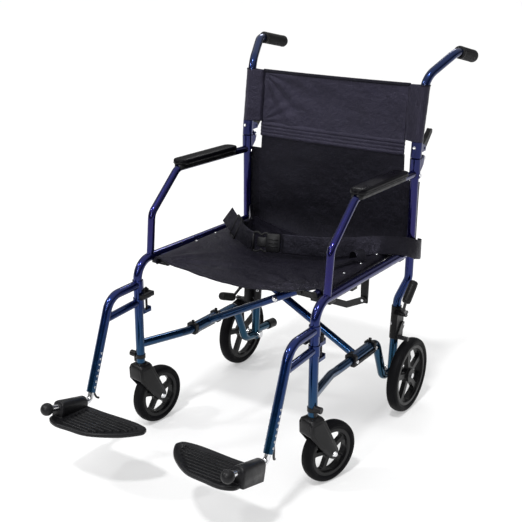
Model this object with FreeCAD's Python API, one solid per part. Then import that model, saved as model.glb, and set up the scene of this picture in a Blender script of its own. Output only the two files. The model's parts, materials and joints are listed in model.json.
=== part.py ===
"""Folding transport wheelchair, as an assembly of separate named pieces.

Millimetres.  +Z is up and the floor is Z = 0.  -Y is the front, where the feet rest.  +X is the
occupant's left.  The origin is on the floor, under the middle of the whole chair.  The sizes below
have Y = 0 near the middle of the seat; save() shifts the pieces.

Each side frame is built for the left side and mirrored for the right.  The two casters and the two
brakes stand at different angles, so those are built for their own side.
"""
import FreeCAD
import Part
import math
import os

Vector = FreeCAD.Vector
UP = Vector(0, 0, 1)
FORWARD = Vector(0, -1, 0)
LEFT = Vector(1, 0, 0)

# Driving dimensions
SHIFT_Y = 33.4           # moves the finished pieces so that the origin is under the box's middle
FRAME_X = 254.0          # side frame plane, half of the 508 mm between the two frame tubes
LOWER_X = 222.0          # lower side tube and foot of the rear post, joggled inwards
TUBE_R = 11.1            # 7/8 inch frame tube
ARM_TUBE_R = 9.5         # 3/4 inch arm tube
WALL = 1.5
CASTER_Y = -223.0        # front upright and caster stem
REAR_Y = 257.0           # rear post above its joggle
SEAT_FRONT_Z = 455.0
SEAT_REAR_Z = 448.0
ARM_Z = 655.0
HINGE_Z = 690.0          # split between rear post and back tube
HINGE_Y = 277.0          # hinge pin, behind the post so that the back folds down flat
CASTER_R = 76.2          # 6 inch front wheel
CASTER_TRAIL = 53.0
CASTER_YAW = {"left": -17.8, "right": -6.9}
REAR_WHEEL_R = 101.6     # 8 inch rear wheel
REAR_WHEEL_X = 269.0
REAR_AXLE_Y = 252.2
HUB_HALF = 12.5          # half length of the rear hub, recessed in the wheel
SPOKE_TURN = {"rear": -5.0, "left": -12.0, "right": -2.0}
RUNNING = 0.05           # radial clearance of a pin in its hole
GAP = 0.4                # clearance between parts that only pass each other

# Cross braces: each runs from a sleeve on one lower side tube to the seat rail on the other side
PIVOT_Z = 222.0
RAIL_X = 219.0
RAIL_Z = 452.0
RAIL_R = 9.0
BRACE_R = 10.0
BRACE_FRONT_Y = 20.0
BRACE_REAR_Y = 44.0
CROSS_Z = 337.0
LINK_BOLT = (77.0, 374.0)     # X and Z of the boss on a brace where the link ends
LINK_PIVOT = (254.0, 393.0)   # X and Z of the link's pivot under the seat tube
LINK_LOW = (209.0, 371.0)     # the link's dog-leg

# Hanger and footrest
HANGER_TOP_Z = 396.0
HANGER_BEND_Y = -326.0
HANGER_FOOT = (-407.0, 177.0)
FOOT_CORNER = (-415.0, 157.0)
FOOT_TILT = 15.0         # of the footplate's hinge axis, rising forward
TREAD_TILT = 4.7         # of the tread itself
FOOT_ROD_R = 7.5

# Brake
BRAKE_X = 277.0          # the grip; the pivot is nearer the post
BRAKE_PLATE_X = 235.0
BRAKE_PIVOT = (245.0, 277.0)
BRAKE_SWING = 115.0
SHOE_PIVOT = (258.0, 240.0)
SHOE_SWING = 8.0


# Geometry helpers

def fillet_path(points, radius):
    """A wire along the points, with each corner rounded by a tangent arc."""
    corners = [Vector(*p) for p in points]
    radii = radius if isinstance(radius, (list, tuple)) else [radius] * (len(corners) - 2)
    edges = []
    start = corners[0]
    for before, corner, after, bend in zip(corners, corners[1:], corners[2:], radii):
        back = (before - corner).normalize()
        ahead = (after - corner).normalize()
        half_turn = (math.pi - back.getAngle(ahead)) / 2
        cut = bend * math.tan(half_turn)
        first = corner + back * cut
        last = corner + ahead * cut
        inward = (back + ahead).normalize()
        middle = corner + inward * (bend / math.cos(half_turn) - bend)
        edges.append(Part.LineSegment(start, first).toShape())
        edges.append(Part.Arc(first, middle, last).toShape())
        start = last
    edges.append(Part.LineSegment(start, corners[-1]).toShape())
    return Part.Wire(edges)


def rod(points, radius, bend=40.0):
    """A solid round bar along the points."""
    path = fillet_path(points, bend) if len(points) > 2 else None
    start = Vector(*points[0])
    towards = Vector(*points[1]) - start
    if path is None:
        return Part.makeCylinder(radius, towards.Length, start, towards)
    circle = Part.Wire(Part.makeCircle(radius, start, towards))
    return path.makePipeShell([circle], True, False)


def tube(points, radius, bend=40.0, wall=WALL):
    """A hollow round tube along the points, open at both ends."""
    return rod(points, radius, bend).cut(rod(points, radius - wall, bend))


def cylinder(radius, start, end):
    """A round bar between two points."""
    return rod([start, end], radius)


def ring(outer, inner, start, end):
    """A sleeve between two points."""
    return cylinder(outer, start, end).cut(cylinder(inner, start, end))


def box(low, high):
    """A block between two opposite corners."""
    size = Vector(*high) - Vector(*low)
    return Part.makeBox(size.x, size.y, size.z, Vector(*low))


def plate_yz(points, x_low, x_high, fillet=0.0):
    """A flat plate in a side view: points are (Y, Z), thickness runs along X."""
    corners = [Vector(x_low, y, z) for y, z in points]
    wire = Part.makePolygon(corners + corners[:1])
    if fillet:
        path = corners + corners[:2]
        radii = []
        for a, b, c in zip(path, path[1:], path[2:]):
            angle = (a - b).getAngle(c - b)
            reach = min((a - b).Length, (c - b).Length) * 0.45
            radii.append(min(fillet, reach * math.tan(angle / 2)))
        wire = rounded_outline(corners, radii)
    return Part.Face(wire).extrude(Vector(x_high - x_low, 0, 0))


def rounded_outline(corners, radii):
    """A closed outline with rounded corners; radii start at the second corner."""
    count = len(corners)
    tangents = []
    for i in range(count):
        corner = corners[(i + 1) % count]
        back = (corners[i] - corner).normalize()
        ahead = (corners[(i + 2) % count] - corner).normalize()
        half_turn = (math.pi - back.getAngle(ahead)) / 2
        cut = radii[i] * math.tan(half_turn)
        inward = (back + ahead).normalize()
        middle = corner + inward * (radii[i] / math.cos(half_turn) - radii[i])
        tangents.append((corner + back * cut, middle, corner + ahead * cut))
    edges = []
    for (first, middle, last), (following, _, _) in zip(tangents, tangents[1:] + tangents[:1]):
        edges.append(Part.Arc(first, middle, last).toShape())
        edges.append(Part.LineSegment(last, following).toShape())
    return Part.Wire(edges)


def fuse(pieces):
    """One solid from pieces that meet."""
    whole = pieces[0].multiFuse(pieces[1:])
    return whole.removeSplitter()


def group(pieces):
    """Separate solids that share one node."""
    solids = []
    for piece in pieces:
        solids.extend(piece.Solids)
    return Part.makeCompound(solids)


def turned(shape, degrees, centre, axis=UP):
    """The shape turned about an axis through centre."""
    copy = shape.copy()
    copy.rotate(Vector(*centre), axis, degrees)
    return copy


def mirrored(shape):
    """The same piece for the other side."""
    return shape.mirror(Vector(0, 0, 0), LEFT)


def dome_bolt(head_r, shank_r, start, end, head=4.0):
    """A bolt from the underside of its head at start to its tip at end."""
    base = Vector(*start)
    along = (Vector(*end) - base).normalize()
    shank = cylinder(shank_r, start, end)
    cap = Part.makeCone(head_r, head_r * 0.6, head, base, along * -1)
    return fuse([shank, cap])


# Side frame, left

SIDE_PATH = [(FRAME_X, CASTER_Y, 184), (FRAME_X, CASTER_Y, SEAT_FRONT_Z),
             (FRAME_X, REAR_Y, SEAT_REAR_Z)]
POST_PATH = [(FRAME_X, REAR_Y + 1, HINGE_Z - GAP), (FRAME_X, REAR_Y + 1, 372),
             (LOWER_X, REAR_Y + 9, 304), (LOWER_X, REAR_AXLE_Y, 88)]
ARM_PATH = [(FRAME_X, -172, SEAT_FRONT_Z), (FRAME_X, -161, 563), (FRAME_X, -55, ARM_Z + 2),
            (FRAME_X, REAR_Y, ARM_Z - 4)]
LOWER_PATH = [(FRAME_X, CASTER_Y, 235), (LOWER_X + 3, -92, 226), (LOWER_X, -60, PIVOT_Z),
              (LOWER_X, 150, PIVOT_Z), (LOWER_X, 199, 106), (LOWER_X, REAR_AXLE_Y, 98)]
SIDE_BENDS = [47]
POST_BENDS = [45, 45]
ARM_BENDS = [34, 34]
LOWER_BENDS = [70, 90, 30, 26]


def side_tube():
    """Front upright and seat tube in one bent length, butted against the rear post."""
    return tube(SIDE_PATH, TUBE_R, SIDE_BENDS).cut(rod(POST_PATH, TUBE_R, POST_BENDS))


def rear_post():
    """Rear post, joggled inwards above the rear wheel."""
    post = tube(POST_PATH, TUBE_R, POST_BENDS)
    axle = cylinder(6 + RUNNING, (200, REAR_AXLE_Y, REAR_WHEEL_R), (300, REAR_AXLE_Y, REAR_WHEEL_R))
    return post.cut(axle)


def arm_tube():
    """Arm tube, from the seat tube up and back to the rear post."""
    arm = tube(ARM_PATH, ARM_TUBE_R, ARM_BENDS)
    arm = arm.cut(rod(SIDE_PATH, TUBE_R, SIDE_BENDS))
    return arm.cut(rod(POST_PATH, TUBE_R, POST_BENDS))


def lower_tube():
    """Lower side tube, from the front upright down to the foot of the rear post."""
    lower = tube(LOWER_PATH, TUBE_R, LOWER_BENDS)
    lower = lower.cut(rod(SIDE_PATH, TUBE_R, SIDE_BENDS))
    tip = tube([(LOWER_X, REAR_AXLE_Y + 2, 112), (LOWER_X, 346, 103)], TUBE_R)
    post = rod(POST_PATH, TUBE_R, POST_BENDS)
    axle = cylinder(6 + RUNNING, (200, REAR_AXLE_Y, REAR_WHEEL_R), (240, REAR_AXLE_Y, REAR_WHEEL_R))
    return group([lower.cut(post).cut(axle), tip.cut(post).cut(axle)])


def arm_pad():
    """Arm pad: a cushion on a narrower base that sits over the arm tube."""
    low_y, high_y, top = -57.0, 190.0, 678.0
    slabs = []
    for half, low, high, corner in ((21, top - 15, top, 19.0), (14, top - 26, top - 15, 12.0)):
        outline = [Vector(FRAME_X - half, low_y, low), Vector(FRAME_X + half, low_y, low),
                   Vector(FRAME_X + half, high_y, low), Vector(FRAME_X - half, high_y, low)]
        slabs.append(Part.Face(rounded_outline(outline, [corner] * 4)).extrude(UP * (high - low)))
    slabs[0] = slabs[0].makeFillet(5.0, [e for e in slabs[0].Edges if e.CenterOfMass.z > top - 1])
    pad = turned(fuse(slabs), -1, (0, (low_y + high_y) / 2, top), LEFT)
    return pad.cut(rod(ARM_PATH, ARM_TUBE_R + 0.2, ARM_BENDS))


def rail_cradle(y):
    """Black saddle on the seat tube that the seat rail drops into."""
    seat_z = SEAT_FRONT_Z + (SEAT_REAR_Z - SEAT_FRONT_Z) * (y - CASTER_Y) / (REAR_Y - CASTER_Y)
    block = box((RAIL_X - 13, y - 12, RAIL_Z - 17), (FRAME_X + 3, y + 12, seat_z - 4))
    rail = cylinder(RAIL_R + GAP, (RAIL_X, y - 20, RAIL_Z), (RAIL_X, y + 20, RAIL_Z))
    above = box((RAIL_X - RAIL_R - GAP, y - 20, RAIL_Z), (RAIL_X + RAIL_R + GAP, y + 20, RAIL_Z + 20))
    block = block.cut(rail).cut(above)
    return block.cut(rod(SIDE_PATH, TUBE_R + 0.1, SIDE_BENDS))


def frame_caps():
    """Black plastic pieces fixed to the side frame."""
    cap = cylinder(13.8, (LOWER_X, 316, 105.9), (LOWER_X, 350, 102.6))
    cap = cap.cut(cylinder(TUBE_R + 0.1, (LOWER_X, 300, 107.5), (LOWER_X, 346.2, 103)))
    return group([cap, stem_clamp(), rail_cradle(-150), rail_cradle(-46), rail_cradle(205)])


def stem_clamp():
    """Thin clamp on the front upright, with a round knob on its outer side and a tab below."""
    clamp = cylinder(12.8, (FRAME_X, CASTER_Y, 197), (FRAME_X, CASTER_Y, 207))
    knob = cylinder(8, (FRAME_X + 8, CASTER_Y - 5, 206), (FRAME_X + 26, CASTER_Y - 5, 206))
    tab = box((FRAME_X + 8, CASTER_Y - 9, 187), (FRAME_X + 14, CASTER_Y - 1, 203))
    upright = cylinder(TUBE_R + 0.1, (FRAME_X, CASTER_Y, 150), (FRAME_X, CASTER_Y, 260))
    return fuse([clamp, knob, tab]).cut(upright)


def pivot_saddle(sleeve_low, sleeve_high):
    """Black clamp at each end of a brace's sleeve, joined by a shell below and outboard of it."""
    first, last = sleeve_low - 1.4, sleeve_high + 1.4
    shell = ring(20, 15.2, (LOWER_X, first, PIVOT_Z), (LOWER_X, last, PIVOT_Z))
    shell = shell.common(box((LOWER_X, first, PIVOT_Z - 20), (LOWER_X + 20, last, PIVOT_Z)))
    pieces = [shell]
    for low in (sleeve_low - 12, sleeve_high + 1):
        block = box((LOWER_X - 14, low, PIVOT_Z - 15), (LOWER_X + 16, low + 11, PIVOT_Z + 16))
        pieces.append(block.makeFillet(6, [edge for edge in block.Edges if runs_along_y(edge)]))
        pieces.append(cylinder(4, (LOWER_X, low + 5.5, PIVOT_Z + 12), (LOWER_X, low + 5.5, PIVOT_Z + 23)))
    return fuse(pieces).cut(rod(LOWER_PATH, TUBE_R + 0.1, LOWER_BENDS))


def runs_along_y(edge):
    """True for an edge that points from front to back."""
    first, last = edge.Vertexes
    return abs(last.Y - first.Y) > 1


SLEEVES = {"left": (22.0, 110.0), "right": (-38.0, 52.0)}


def frame_bolts(side):
    """Steel pieces of one side frame: bearings, axle, pins, rivets and bolts."""
    pieces = []
    for low in (187.0, 231.0):
        pieces.append(ring(TUBE_R - WALL - 0.05, 6 + RUNNING, (FRAME_X, CASTER_Y, low),
                           (FRAME_X, CASTER_Y, low + 9)))
    wheel_axle = cylinder(6, (LOWER_X - 17, REAR_AXLE_Y, REAR_WHEEL_R),
                          (REAR_WHEEL_X + HUB_HALF + 3, REAR_AXLE_Y, REAR_WHEEL_R))
    nut = cylinder(9, (LOWER_X - 21, REAR_AXLE_Y, REAR_WHEEL_R), (LOWER_X - 15, REAR_AXLE_Y, REAR_WHEEL_R))
    spacer = cylinder(9, (LOWER_X + TUBE_R + 0.3, REAR_AXLE_Y, REAR_WHEEL_R),
                      (REAR_WHEEL_X - HUB_HALF - GAP, REAR_AXLE_Y, REAR_WHEEL_R))
    end_cap = cylinder(7, (REAR_WHEEL_X + HUB_HALF + GAP, REAR_AXLE_Y, REAR_WHEEL_R),
                       (REAR_WHEEL_X + HUB_HALF + 4, REAR_AXLE_Y, REAR_WHEEL_R))
    pieces.append(fuse([wheel_axle, nut, spacer, end_cap]))
    pieces.append(cylinder(4, (FRAME_X - 17, HINGE_Y, HINGE_Z), (FRAME_X + 17, HINGE_Y, HINGE_Z)))
    for face in (-1, 1):
        pieces.append(cylinder(4.5, (FRAME_X + face * 14, REAR_Y + 1, ARM_Z - 8),
                               (FRAME_X + face * 17, REAR_Y + 1, ARM_Z - 8)))
    for y in (SLEEVES[side][0] - 6.5, SLEEVES[side][1] + 6.5):
        pieces.append(cylinder(4.5, (LOWER_X + 16, y, PIVOT_Z), (LOWER_X + 20, y, PIVOT_Z)))
    lever_pin = cylinder(3, (BRAKE_PLATE_X, *BRAKE_PIVOT), (BRAKE_PLATE_X + 29, *BRAKE_PIVOT))
    shoe_pin = cylinder(3, (BRAKE_PLATE_X, *SHOE_PIVOT), (BRAKE_PLATE_X + 14, *SHOE_PIVOT))
    link_pin = cylinder(3.5, (LINK_PIVOT[0], link_y(side) - 5, LINK_PIVOT[1]),
                        (LINK_PIVOT[0], link_y(side) + 11, LINK_PIVOT[1]))
    return group(pieces + [lever_pin, shoe_pin, link_pin])


def hinge_pin_hole():
    """Hole for the back hinge's pin."""
    return cylinder(4 + RUNNING, (FRAME_X - 30, HINGE_Y, HINGE_Z), (FRAME_X + 30, HINGE_Y, HINGE_Z))


def back_hinge():
    """Lower half of the back hinge: a sleeve on the rear post with two ears for the hinge pin."""
    post = rod(POST_PATH, TUBE_R + 0.1, POST_BENDS)
    sleeve = cylinder(14, (FRAME_X, REAR_Y + 1, 640), (FRAME_X, REAR_Y + 1, HINGE_Z - 1))
    ear_outline = [(REAR_Y + 8, 658), (REAR_Y + 22, 672), (HINGE_Y + 7, HINGE_Z - 3),
                   (HINGE_Y + 4, HINGE_Z + 6), (HINGE_Y - 4, HINGE_Z + 6), (REAR_Y + 8, HINGE_Z - 2)]
    ears = [plate_yz(ear_outline, FRAME_X + side * 10.5 - 2.5, FRAME_X + side * 10.5 + 2.5)
            for side in (-1, 1)]
    slot = box((FRAME_X - 8, REAR_Y + 12.4, 662), (FRAME_X + 8, REAR_Y + 50, HINGE_Z + 20))
    arm = rod(ARM_PATH, ARM_TUBE_R + 0.1, ARM_BENDS)
    return fuse([sleeve] + ears).cut(post).cut(hinge_pin_hole()).cut(slot).cut(arm)


# Back tube, grip and release lever

BACK_PATH = [(FRAME_X, REAR_Y + 1, HINGE_Z + 2), (FRAME_X, REAR_Y + 3, HINGE_Z + 20),
             (FRAME_X + 2, 286, 886), (FRAME_X + 40, 380, 943), (FRAME_X + 36, 497, 920)]
BACK_BENDS = [60, 60, 48]
LEVER_PIVOT = (288.0, 712.0)     # Y and Z of the release lever's pin


def back_tube():
    """Back tube with its push handle, and the upper half of the hinge."""
    bar = tube(BACK_PATH, TUBE_R, BACK_BENDS)
    sleeve = cylinder(14, (FRAME_X, REAR_Y + 1.5, HINGE_Z + 1.2), (FRAME_X, REAR_Y + 5, HINGE_Z + 40))
    eye = cylinder(7, (FRAME_X - 7.5, HINGE_Y, HINGE_Z), (FRAME_X + 7.5, HINGE_Y, HINGE_Z))
    web = plate_yz([(REAR_Y + 6, HINGE_Z + 28), (REAR_Y + 6, HINGE_Z + 2), (REAR_Y + 14, HINGE_Z + 2),
                    (HINGE_Y, HINGE_Z - 4), (HINGE_Y + 6, HINGE_Z + 3)], FRAME_X - 7.5, FRAME_X + 7.5)
    ears_room = [box((FRAME_X - 13.5, REAR_Y + 6, HINGE_Z - 8), (FRAME_X - 7.5, REAR_Y + 29, HINGE_Z + 8)),
                 box((FRAME_X + 7.5, REAR_Y + 6, HINGE_Z - 8), (FRAME_X + 13.5, REAR_Y + 29, HINGE_Z + 8))]
    fitting = fuse([sleeve.cut(rod(BACK_PATH, TUBE_R, BACK_BENDS)), web, eye]).cut(hinge_pin_hole())
    for room in ears_room:
        fitting = fitting.cut(room)
    ear_outline = [(REAR_Y + 10, 704), (LEVER_PIVOT[0] + 5, 705), (LEVER_PIVOT[0] + 7, 714),
                   (LEVER_PIVOT[0] - 1, 721), (REAR_Y + 10, 726)]
    lever_ears = [plate_yz(ear_outline, FRAME_X + side * 9 - 1.5, FRAME_X + side * 9 + 1.5)
                  for side in (-1, 1)]
    pin = cylinder(3, (FRAME_X - 12, *LEVER_PIVOT), (FRAME_X + 12, *LEVER_PIVOT))
    core = rod(BACK_PATH, TUBE_R - 0.01, BACK_BENDS)
    return fuse([bar, fitting.cut(core), fuse(lever_ears + [pin]).cut(core)])


def grip():
    """Ribbed handgrip closed at its end."""
    start = Vector(*BACK_PATH[-2])
    end = Vector(*BACK_PATH[-1])
    along = (end - start).normalize()
    first = start + along * 16
    last = end + along
    body = Part.makeCylinder(16.5, (last - first).Length, first, along)
    body = body.makeFillet(5, [body.Edges[0], body.Edges[2]])
    return body.cut(rod(BACK_PATH, TUBE_R + 0.1, BACK_BENDS))


def back_lever():
    """Release lever between two ears behind the back tube, with a finger pad that rises backwards."""
    y, z = LEVER_PIVOT
    outline = [(y - 4, z - 5), (y + 12, z - 6), (y + 26, z + 8), (y + 49, z + 32), (y + 49, z + 39),
               (y + 43, z + 43), (y + 20, z + 22), (y + 4, z + 11), (y - 4, z + 6)]
    lever = plate_yz(outline, FRAME_X - 6, FRAME_X + 6, 4)
    return lever.cut(cylinder(3 + RUNNING, (FRAME_X - 20, y, z), (FRAME_X + 20, y, z)))


# Wheels and casters

def wheel(radius, width, hub_r, hub_width, bore_r, tyre_depth, turn):
    """Tyre and five-spoke rim about the X axis at the origin; turn sets the spokes' angle."""
    half = width / 2
    seat_r = radius - tyre_depth
    shoulder_r = seat_r + tyre_depth * 0.35
    crown = [Vector(-half * 0.86, radius - tyre_depth * 0.22, 0), Vector(0, radius, 0),
             Vector(half * 0.86, radius - tyre_depth * 0.22, 0)]
    corners = [crown[2], Vector(half, shoulder_r, 0), Vector(half * 0.8, seat_r, 0),
               Vector(-half * 0.8, seat_r, 0), Vector(-half, shoulder_r, 0), crown[0]]
    edges = [Part.Arc(*crown).toShape()]
    edges += [Part.LineSegment(a, b).toShape() for a, b in zip(corners, corners[1:])]
    tyre = Part.Face(Part.Wire(edges)).revolve(Vector(0, 0, 0), LEFT, 360)
    felloe = ring(seat_r, seat_r - 8, (-half * 0.8, 0, 0), (half * 0.8, 0, 0))
    web = ring(seat_r - 4, hub_r - 2, (-6, 0, 0), (6, 0, 0))
    hub = cylinder(hub_r, (-hub_width / 2, 0, 0), (hub_width / 2, 0, 0))
    rim = fuse([felloe, web, hub])
    inner, outer = hub_r + 4, seat_r - 10
    outline = [(outer, -30), (outer * 1.03, 0), (outer, 30), (inner, 19), (inner, -19)]
    for index in range(5):
        centre = 36 + 72 * index + turn
        angles = [(radius_at, math.radians(centre + step)) for radius_at, step in outline]
        window = plate_yz([(r * math.sin(a), r * math.cos(a)) for r, a in angles], -30, 30, 6)
        rim = rim.cut(window)
    return tyre, rim.cut(cylinder(bore_r, (-60, 0, 0), (60, 0, 0)))


def place_caster(shape, side):
    """Move a caster piece from its own frame, stem on the Z axis, to its side and angle."""
    sign = 1 if side == "left" else -1
    placed = turned(shape, CASTER_YAW[side], (0, 0, 0))
    placed.translate(Vector(sign * FRAME_X, CASTER_Y, 0))
    return placed


def caster_fork(side):
    """Moulded fork with its steel stem."""
    outline = [(-21, 181), (23, 181), (27, 172), (66, 86), (66, 70), (56, 62), (44, 66), (8, 104),
               (-20, 140)]
    pieces = [plate_yz(outline, sign * 19.5 - 2.7, sign * 19.5 + 2.7, 5) for sign in (-1, 1)]
    crown = [(-21, 181), (23, 181), (24, 163), (10, 157), (-4, 148), (-20, 140)]
    pieces.append(plate_yz(crown, -20, 20, 4))
    pieces.append(cylinder(6, (0, 0, 170), (0, 0, 244)))
    fork = fuse(pieces)
    hole = cylinder(4 + RUNNING, (-40, CASTER_TRAIL, CASTER_R), (40, CASTER_TRAIL, CASTER_R))
    return place_caster(fork.cut(hole), side)


def caster_axle(side):
    """Axle bolt through the fork, with a domed head each side."""
    pieces = [cylinder(4, (-25, CASTER_TRAIL, CASTER_R), (25, CASTER_TRAIL, CASTER_R))]
    for sign in (-1, 1):
        cap = Part.makeCone(7.5, 5, 4.5, Vector(sign * 22.3, CASTER_TRAIL, CASTER_R), LEFT * sign)
        pieces.append(cap)
    return place_caster(fuse(pieces), side)


def caster_wheel(side):
    """Front tyre and rim in the caster's place."""
    parts = wheel(CASTER_R, 30, 14, 33, 4 + RUNNING, 17, SPOKE_TURN[side])
    for part in parts:
        part.translate(Vector(0, CASTER_TRAIL, CASTER_R))
    return [place_caster(part, side) for part in parts]


def rear_wheel():
    """Rear tyre and rim, outboard of the rear post."""
    parts = wheel(REAR_WHEEL_R, 30, 19, 2 * HUB_HALF, 6 + RUNNING, 19, SPOKE_TURN["rear"])
    for part in parts:
        part.translate(Vector(REAR_WHEEL_X, REAR_AXLE_Y, REAR_WHEEL_R))
    return parts


# Brake

def brake_bracket():
    """Black sleeve on the rear post above the wheel, with the plate that carries both pivots."""
    span = box((LOWER_X - 30, REAR_Y - 40, 196), (LOWER_X + 30, REAR_Y + 40, 286))
    sleeve = rod(POST_PATH, 13.4, POST_BENDS).common(span)
    plate = plate_yz([(224, 206), (250, 200), (266, 204), (268, 282), (240, 288), (228, 276)],
                     BRAKE_PLATE_X - 4, BRAKE_PLATE_X + 8, 4)
    web = box((LOWER_X + 9, 252, 204), (BRAKE_PLATE_X, 266, 280))
    bracket = fuse([sleeve, plate, web]).cut(rod(POST_PATH, TUBE_R + 0.1, POST_BENDS))
    for pivot in (BRAKE_PIVOT, SHOE_PIVOT):
        bracket = bracket.cut(cylinder(3, (BRAKE_PLATE_X, *pivot), (BRAKE_PLATE_X + 20, *pivot)))
    return bracket


def brake_lever(forward):
    """Brake lever with its grip, standing back when off or swung forward by some degrees."""
    y, z = BRAKE_PIVOT
    inner = BRAKE_PLATE_X + 8 + GAP
    hub = cylinder(9, (inner, y, z), (inner + 18, y, z))
    foot = (inner + 12, y, z)
    elbow = (BRAKE_X - 12, y - 30, z + 22)
    stem = [cylinder(5.5, foot, elbow), Part.makeSphere(5.5, Vector(*elbow)),
            cylinder(4, elbow, (BRAKE_X, y - 44, z + 58))]
    handle = cylinder(11, (BRAKE_X, y - 45, z + 51), (BRAKE_X, y - 2, z + 93))
    handle = handle.makeFillet(4, [handle.Edges[0], handle.Edges[2]])
    bore = cylinder(3 + RUNNING, (inner - 1, y, z), (inner + 20, y, z))
    return turned(fuse([hub, handle] + stem).cut(bore), forward, (BRAKE_X, y, z), LEFT)


def brake_shoe(pressed):
    """Steel shoe that the lever presses on the tyre, turned by some degrees."""
    y, z = SHOE_PIVOT
    inner = BRAKE_PLATE_X + 8 + GAP
    arm = plate_yz([(y - 8, z + 7), (y + 7, z + 7), (y + 7, z - 7), (y - 18, z - 34), (y - 32, z - 34),
                    (y - 32, z - 22)], inner, inner + 4, 4)
    bar = cylinder(6, (inner, y - 26, z - 27.5), (REAR_WHEEL_X + 6, y - 26, z - 27.5))
    shoe = fuse([arm, bar]).cut(cylinder(3 + RUNNING, (inner - 1, y, z), (inner + 10, y, z)))
    return turned(shoe, pressed, (0, y, z), LEFT)


# Hanger, footrest rod and footplate

HANGER_PATH = [(FRAME_X, CASTER_Y - 8, HANGER_TOP_Z), (FRAME_X, HANGER_BEND_Y, HANGER_TOP_Z - 2),
               (FRAME_X, *HANGER_FOOT)]
HANGER_BENDS = [46]


def hanger_point(share):
    """A point on the sloping leg of the hanger, from its bend (0) to its foot (1)."""
    top = Vector(*HANGER_PATH[1])
    return top + (Vector(*HANGER_PATH[2]) - top) * share


def hanger_tube():
    """Swing-away hanger: bent tube, cross tube, and two collars that turn on the front upright."""
    main = tube(HANGER_PATH, TUBE_R, HANGER_BENDS)
    cross = rod([(FRAME_X, CASTER_Y - 8, 349), tuple(hanger_point(0.235))], ARM_TUBE_R)
    cross = cross.cut(rod(HANGER_PATH, TUBE_R - 0.3, HANGER_BENDS))
    pieces = [main, cross]
    for low, high in ((383, 407), (335, 360)):
        pieces.append(cylinder(13.4, (FRAME_X, CASTER_Y, low), (FRAME_X, CASTER_Y, high)))
    pieces.append(box((FRAME_X - 5, CASTER_Y + 11, 312), (FRAME_X + 5, CASTER_Y + 16, 404)))
    for low, high in ((350, 359), (313, 321)):
        pieces.append(box((FRAME_X - 6, CASTER_Y + 14, low), (FRAME_X + 6, CASTER_Y + 41, high)))
        pieces.append(box((FRAME_X - 6, CASTER_Y + 38, low), (FRAME_X + 6, CASTER_Y + 41, high + 5)))
    whole = fuse(pieces)
    upright = cylinder(TUBE_R + GAP, (FRAME_X, CASTER_Y, 280), (FRAME_X, CASTER_Y, 420))
    pin = cylinder(3 + RUNNING, (FRAME_X, CASTER_Y + 30, 300), (FRAME_X, CASTER_Y + 30, 370))
    bore = rod([tuple(hanger_point(0.3)), tuple(hanger_point(1.1))], TUBE_R - WALL)
    return whole.cut(upright).cut(pin).cut(bore)


def hanger_latch():
    """Black release lever on the hanger's upper lug, with its pin; the bar lies inboard."""
    body = cylinder(7, (FRAME_X, CASTER_Y + 30, 359.4), (FRAME_X, CASTER_Y + 30, 375))
    pin = cylinder(3, (FRAME_X, CASTER_Y + 30, 313), (FRAME_X, CASTER_Y + 30, 379))
    arm = box((FRAME_X - 24, CASTER_Y + 26, 360.5), (FRAME_X, CASTER_Y + 35, 372))
    bar = box((FRAME_X - 24, CASTER_Y - 12, 360.5), (FRAME_X - 14.5, CASTER_Y + 35, 372))
    lever = fuse([arm, bar])
    lever = lever.makeFillet(3, [e for e in lever.Edges if e.CenterOfMass.x < FRAME_X - 20])
    return fuse([body, pin, lever])


def footrest_direction():
    """Direction of the footrest rod's forward arm."""
    tilt = math.radians(FOOT_TILT)
    return Vector(0, -math.cos(tilt), math.sin(tilt))


def foot_axis_point(distance):
    """A point on the footplate's hinge axis, at some distance ahead of the rod's corner."""
    return Vector(FRAME_X - 2, *FOOT_CORNER) + footrest_direction() * distance


def footrest_rod():
    """Chrome rod: up inside the hanger, then bent forward as the footplate's hinge pin."""
    top = hanger_point(0.42)
    points = [tuple(top), tuple(hanger_point(0.99)), (FRAME_X - 2, *FOOT_CORNER), tuple(foot_axis_point(128))]
    return rod(points, FOOT_ROD_R, [30, 12])


def footplate():
    """Footplate with the tall outboard hood that turns on the rod, and the knob that keeps it on."""
    hinge_x = FRAME_X - 2
    rear = -440.0
    outline = [Vector(hinge_x + x, y, 0) for x, y in
               ((14, -528), (-23, -556), (-110, -552), (-165, -515), (-190, -475), (-163, -432), (14, rear))]
    tread = Part.Face(rounded_outline(outline, [25, 40, 40, 14, 16, 4, 10])).extrude(UP * -10)
    grooves = [box((hinge_x - 150, rear - 22 - 12 * index, -2), (hinge_x - 30, rear - 18 - 12 * index, 1))
               for index in range(7)]
    tread = tread.cut(Part.makeCompound(grooves))
    tread.translate(UP * 158)
    tread = turned(tread, -TREAD_TILT, (0, rear, 158), LEFT)
    hood_outline = [(-16, -33), (17, -33), (17, 2), (12, 12), (0, 15.5), (-12, 12), (-16, 2)]
    corners = [Vector(hinge_x + x, -22, z) for x, z in hood_outline]
    hood = Part.Face(Part.makePolygon(corners + corners[:1])).extrude(FORWARD * 84)
    knob = Part.makeSphere(15, Vector(hinge_x, -142, 0))
    knob = knob.cut(box((hinge_x - 20, -129, -20), (hinge_x + 20, -100, 20)))
    knob = knob.cut(cylinder(FOOT_ROD_R + RUNNING, (hinge_x, -100, 0), (hinge_x, -128.4, 0)))
    hood, knob = [on_foot_axis(piece) for piece in (hood, knob)]
    bore = rod([tuple(foot_axis_point(-60)), tuple(foot_axis_point(180))], FOOT_ROD_R + RUNNING)
    return group([fuse([tread, hood]).cut(bore), knob])


def on_foot_axis(shape):
    """Move a shape from the rod's own frame, forward along -Y, to the sloping hinge axis."""
    placed = turned(shape, -FOOT_TILT, (0, 0, 0), LEFT)
    placed.translate(Vector(0, *FOOT_CORNER))
    return placed


# Cross braces, seat rails and side links

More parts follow.
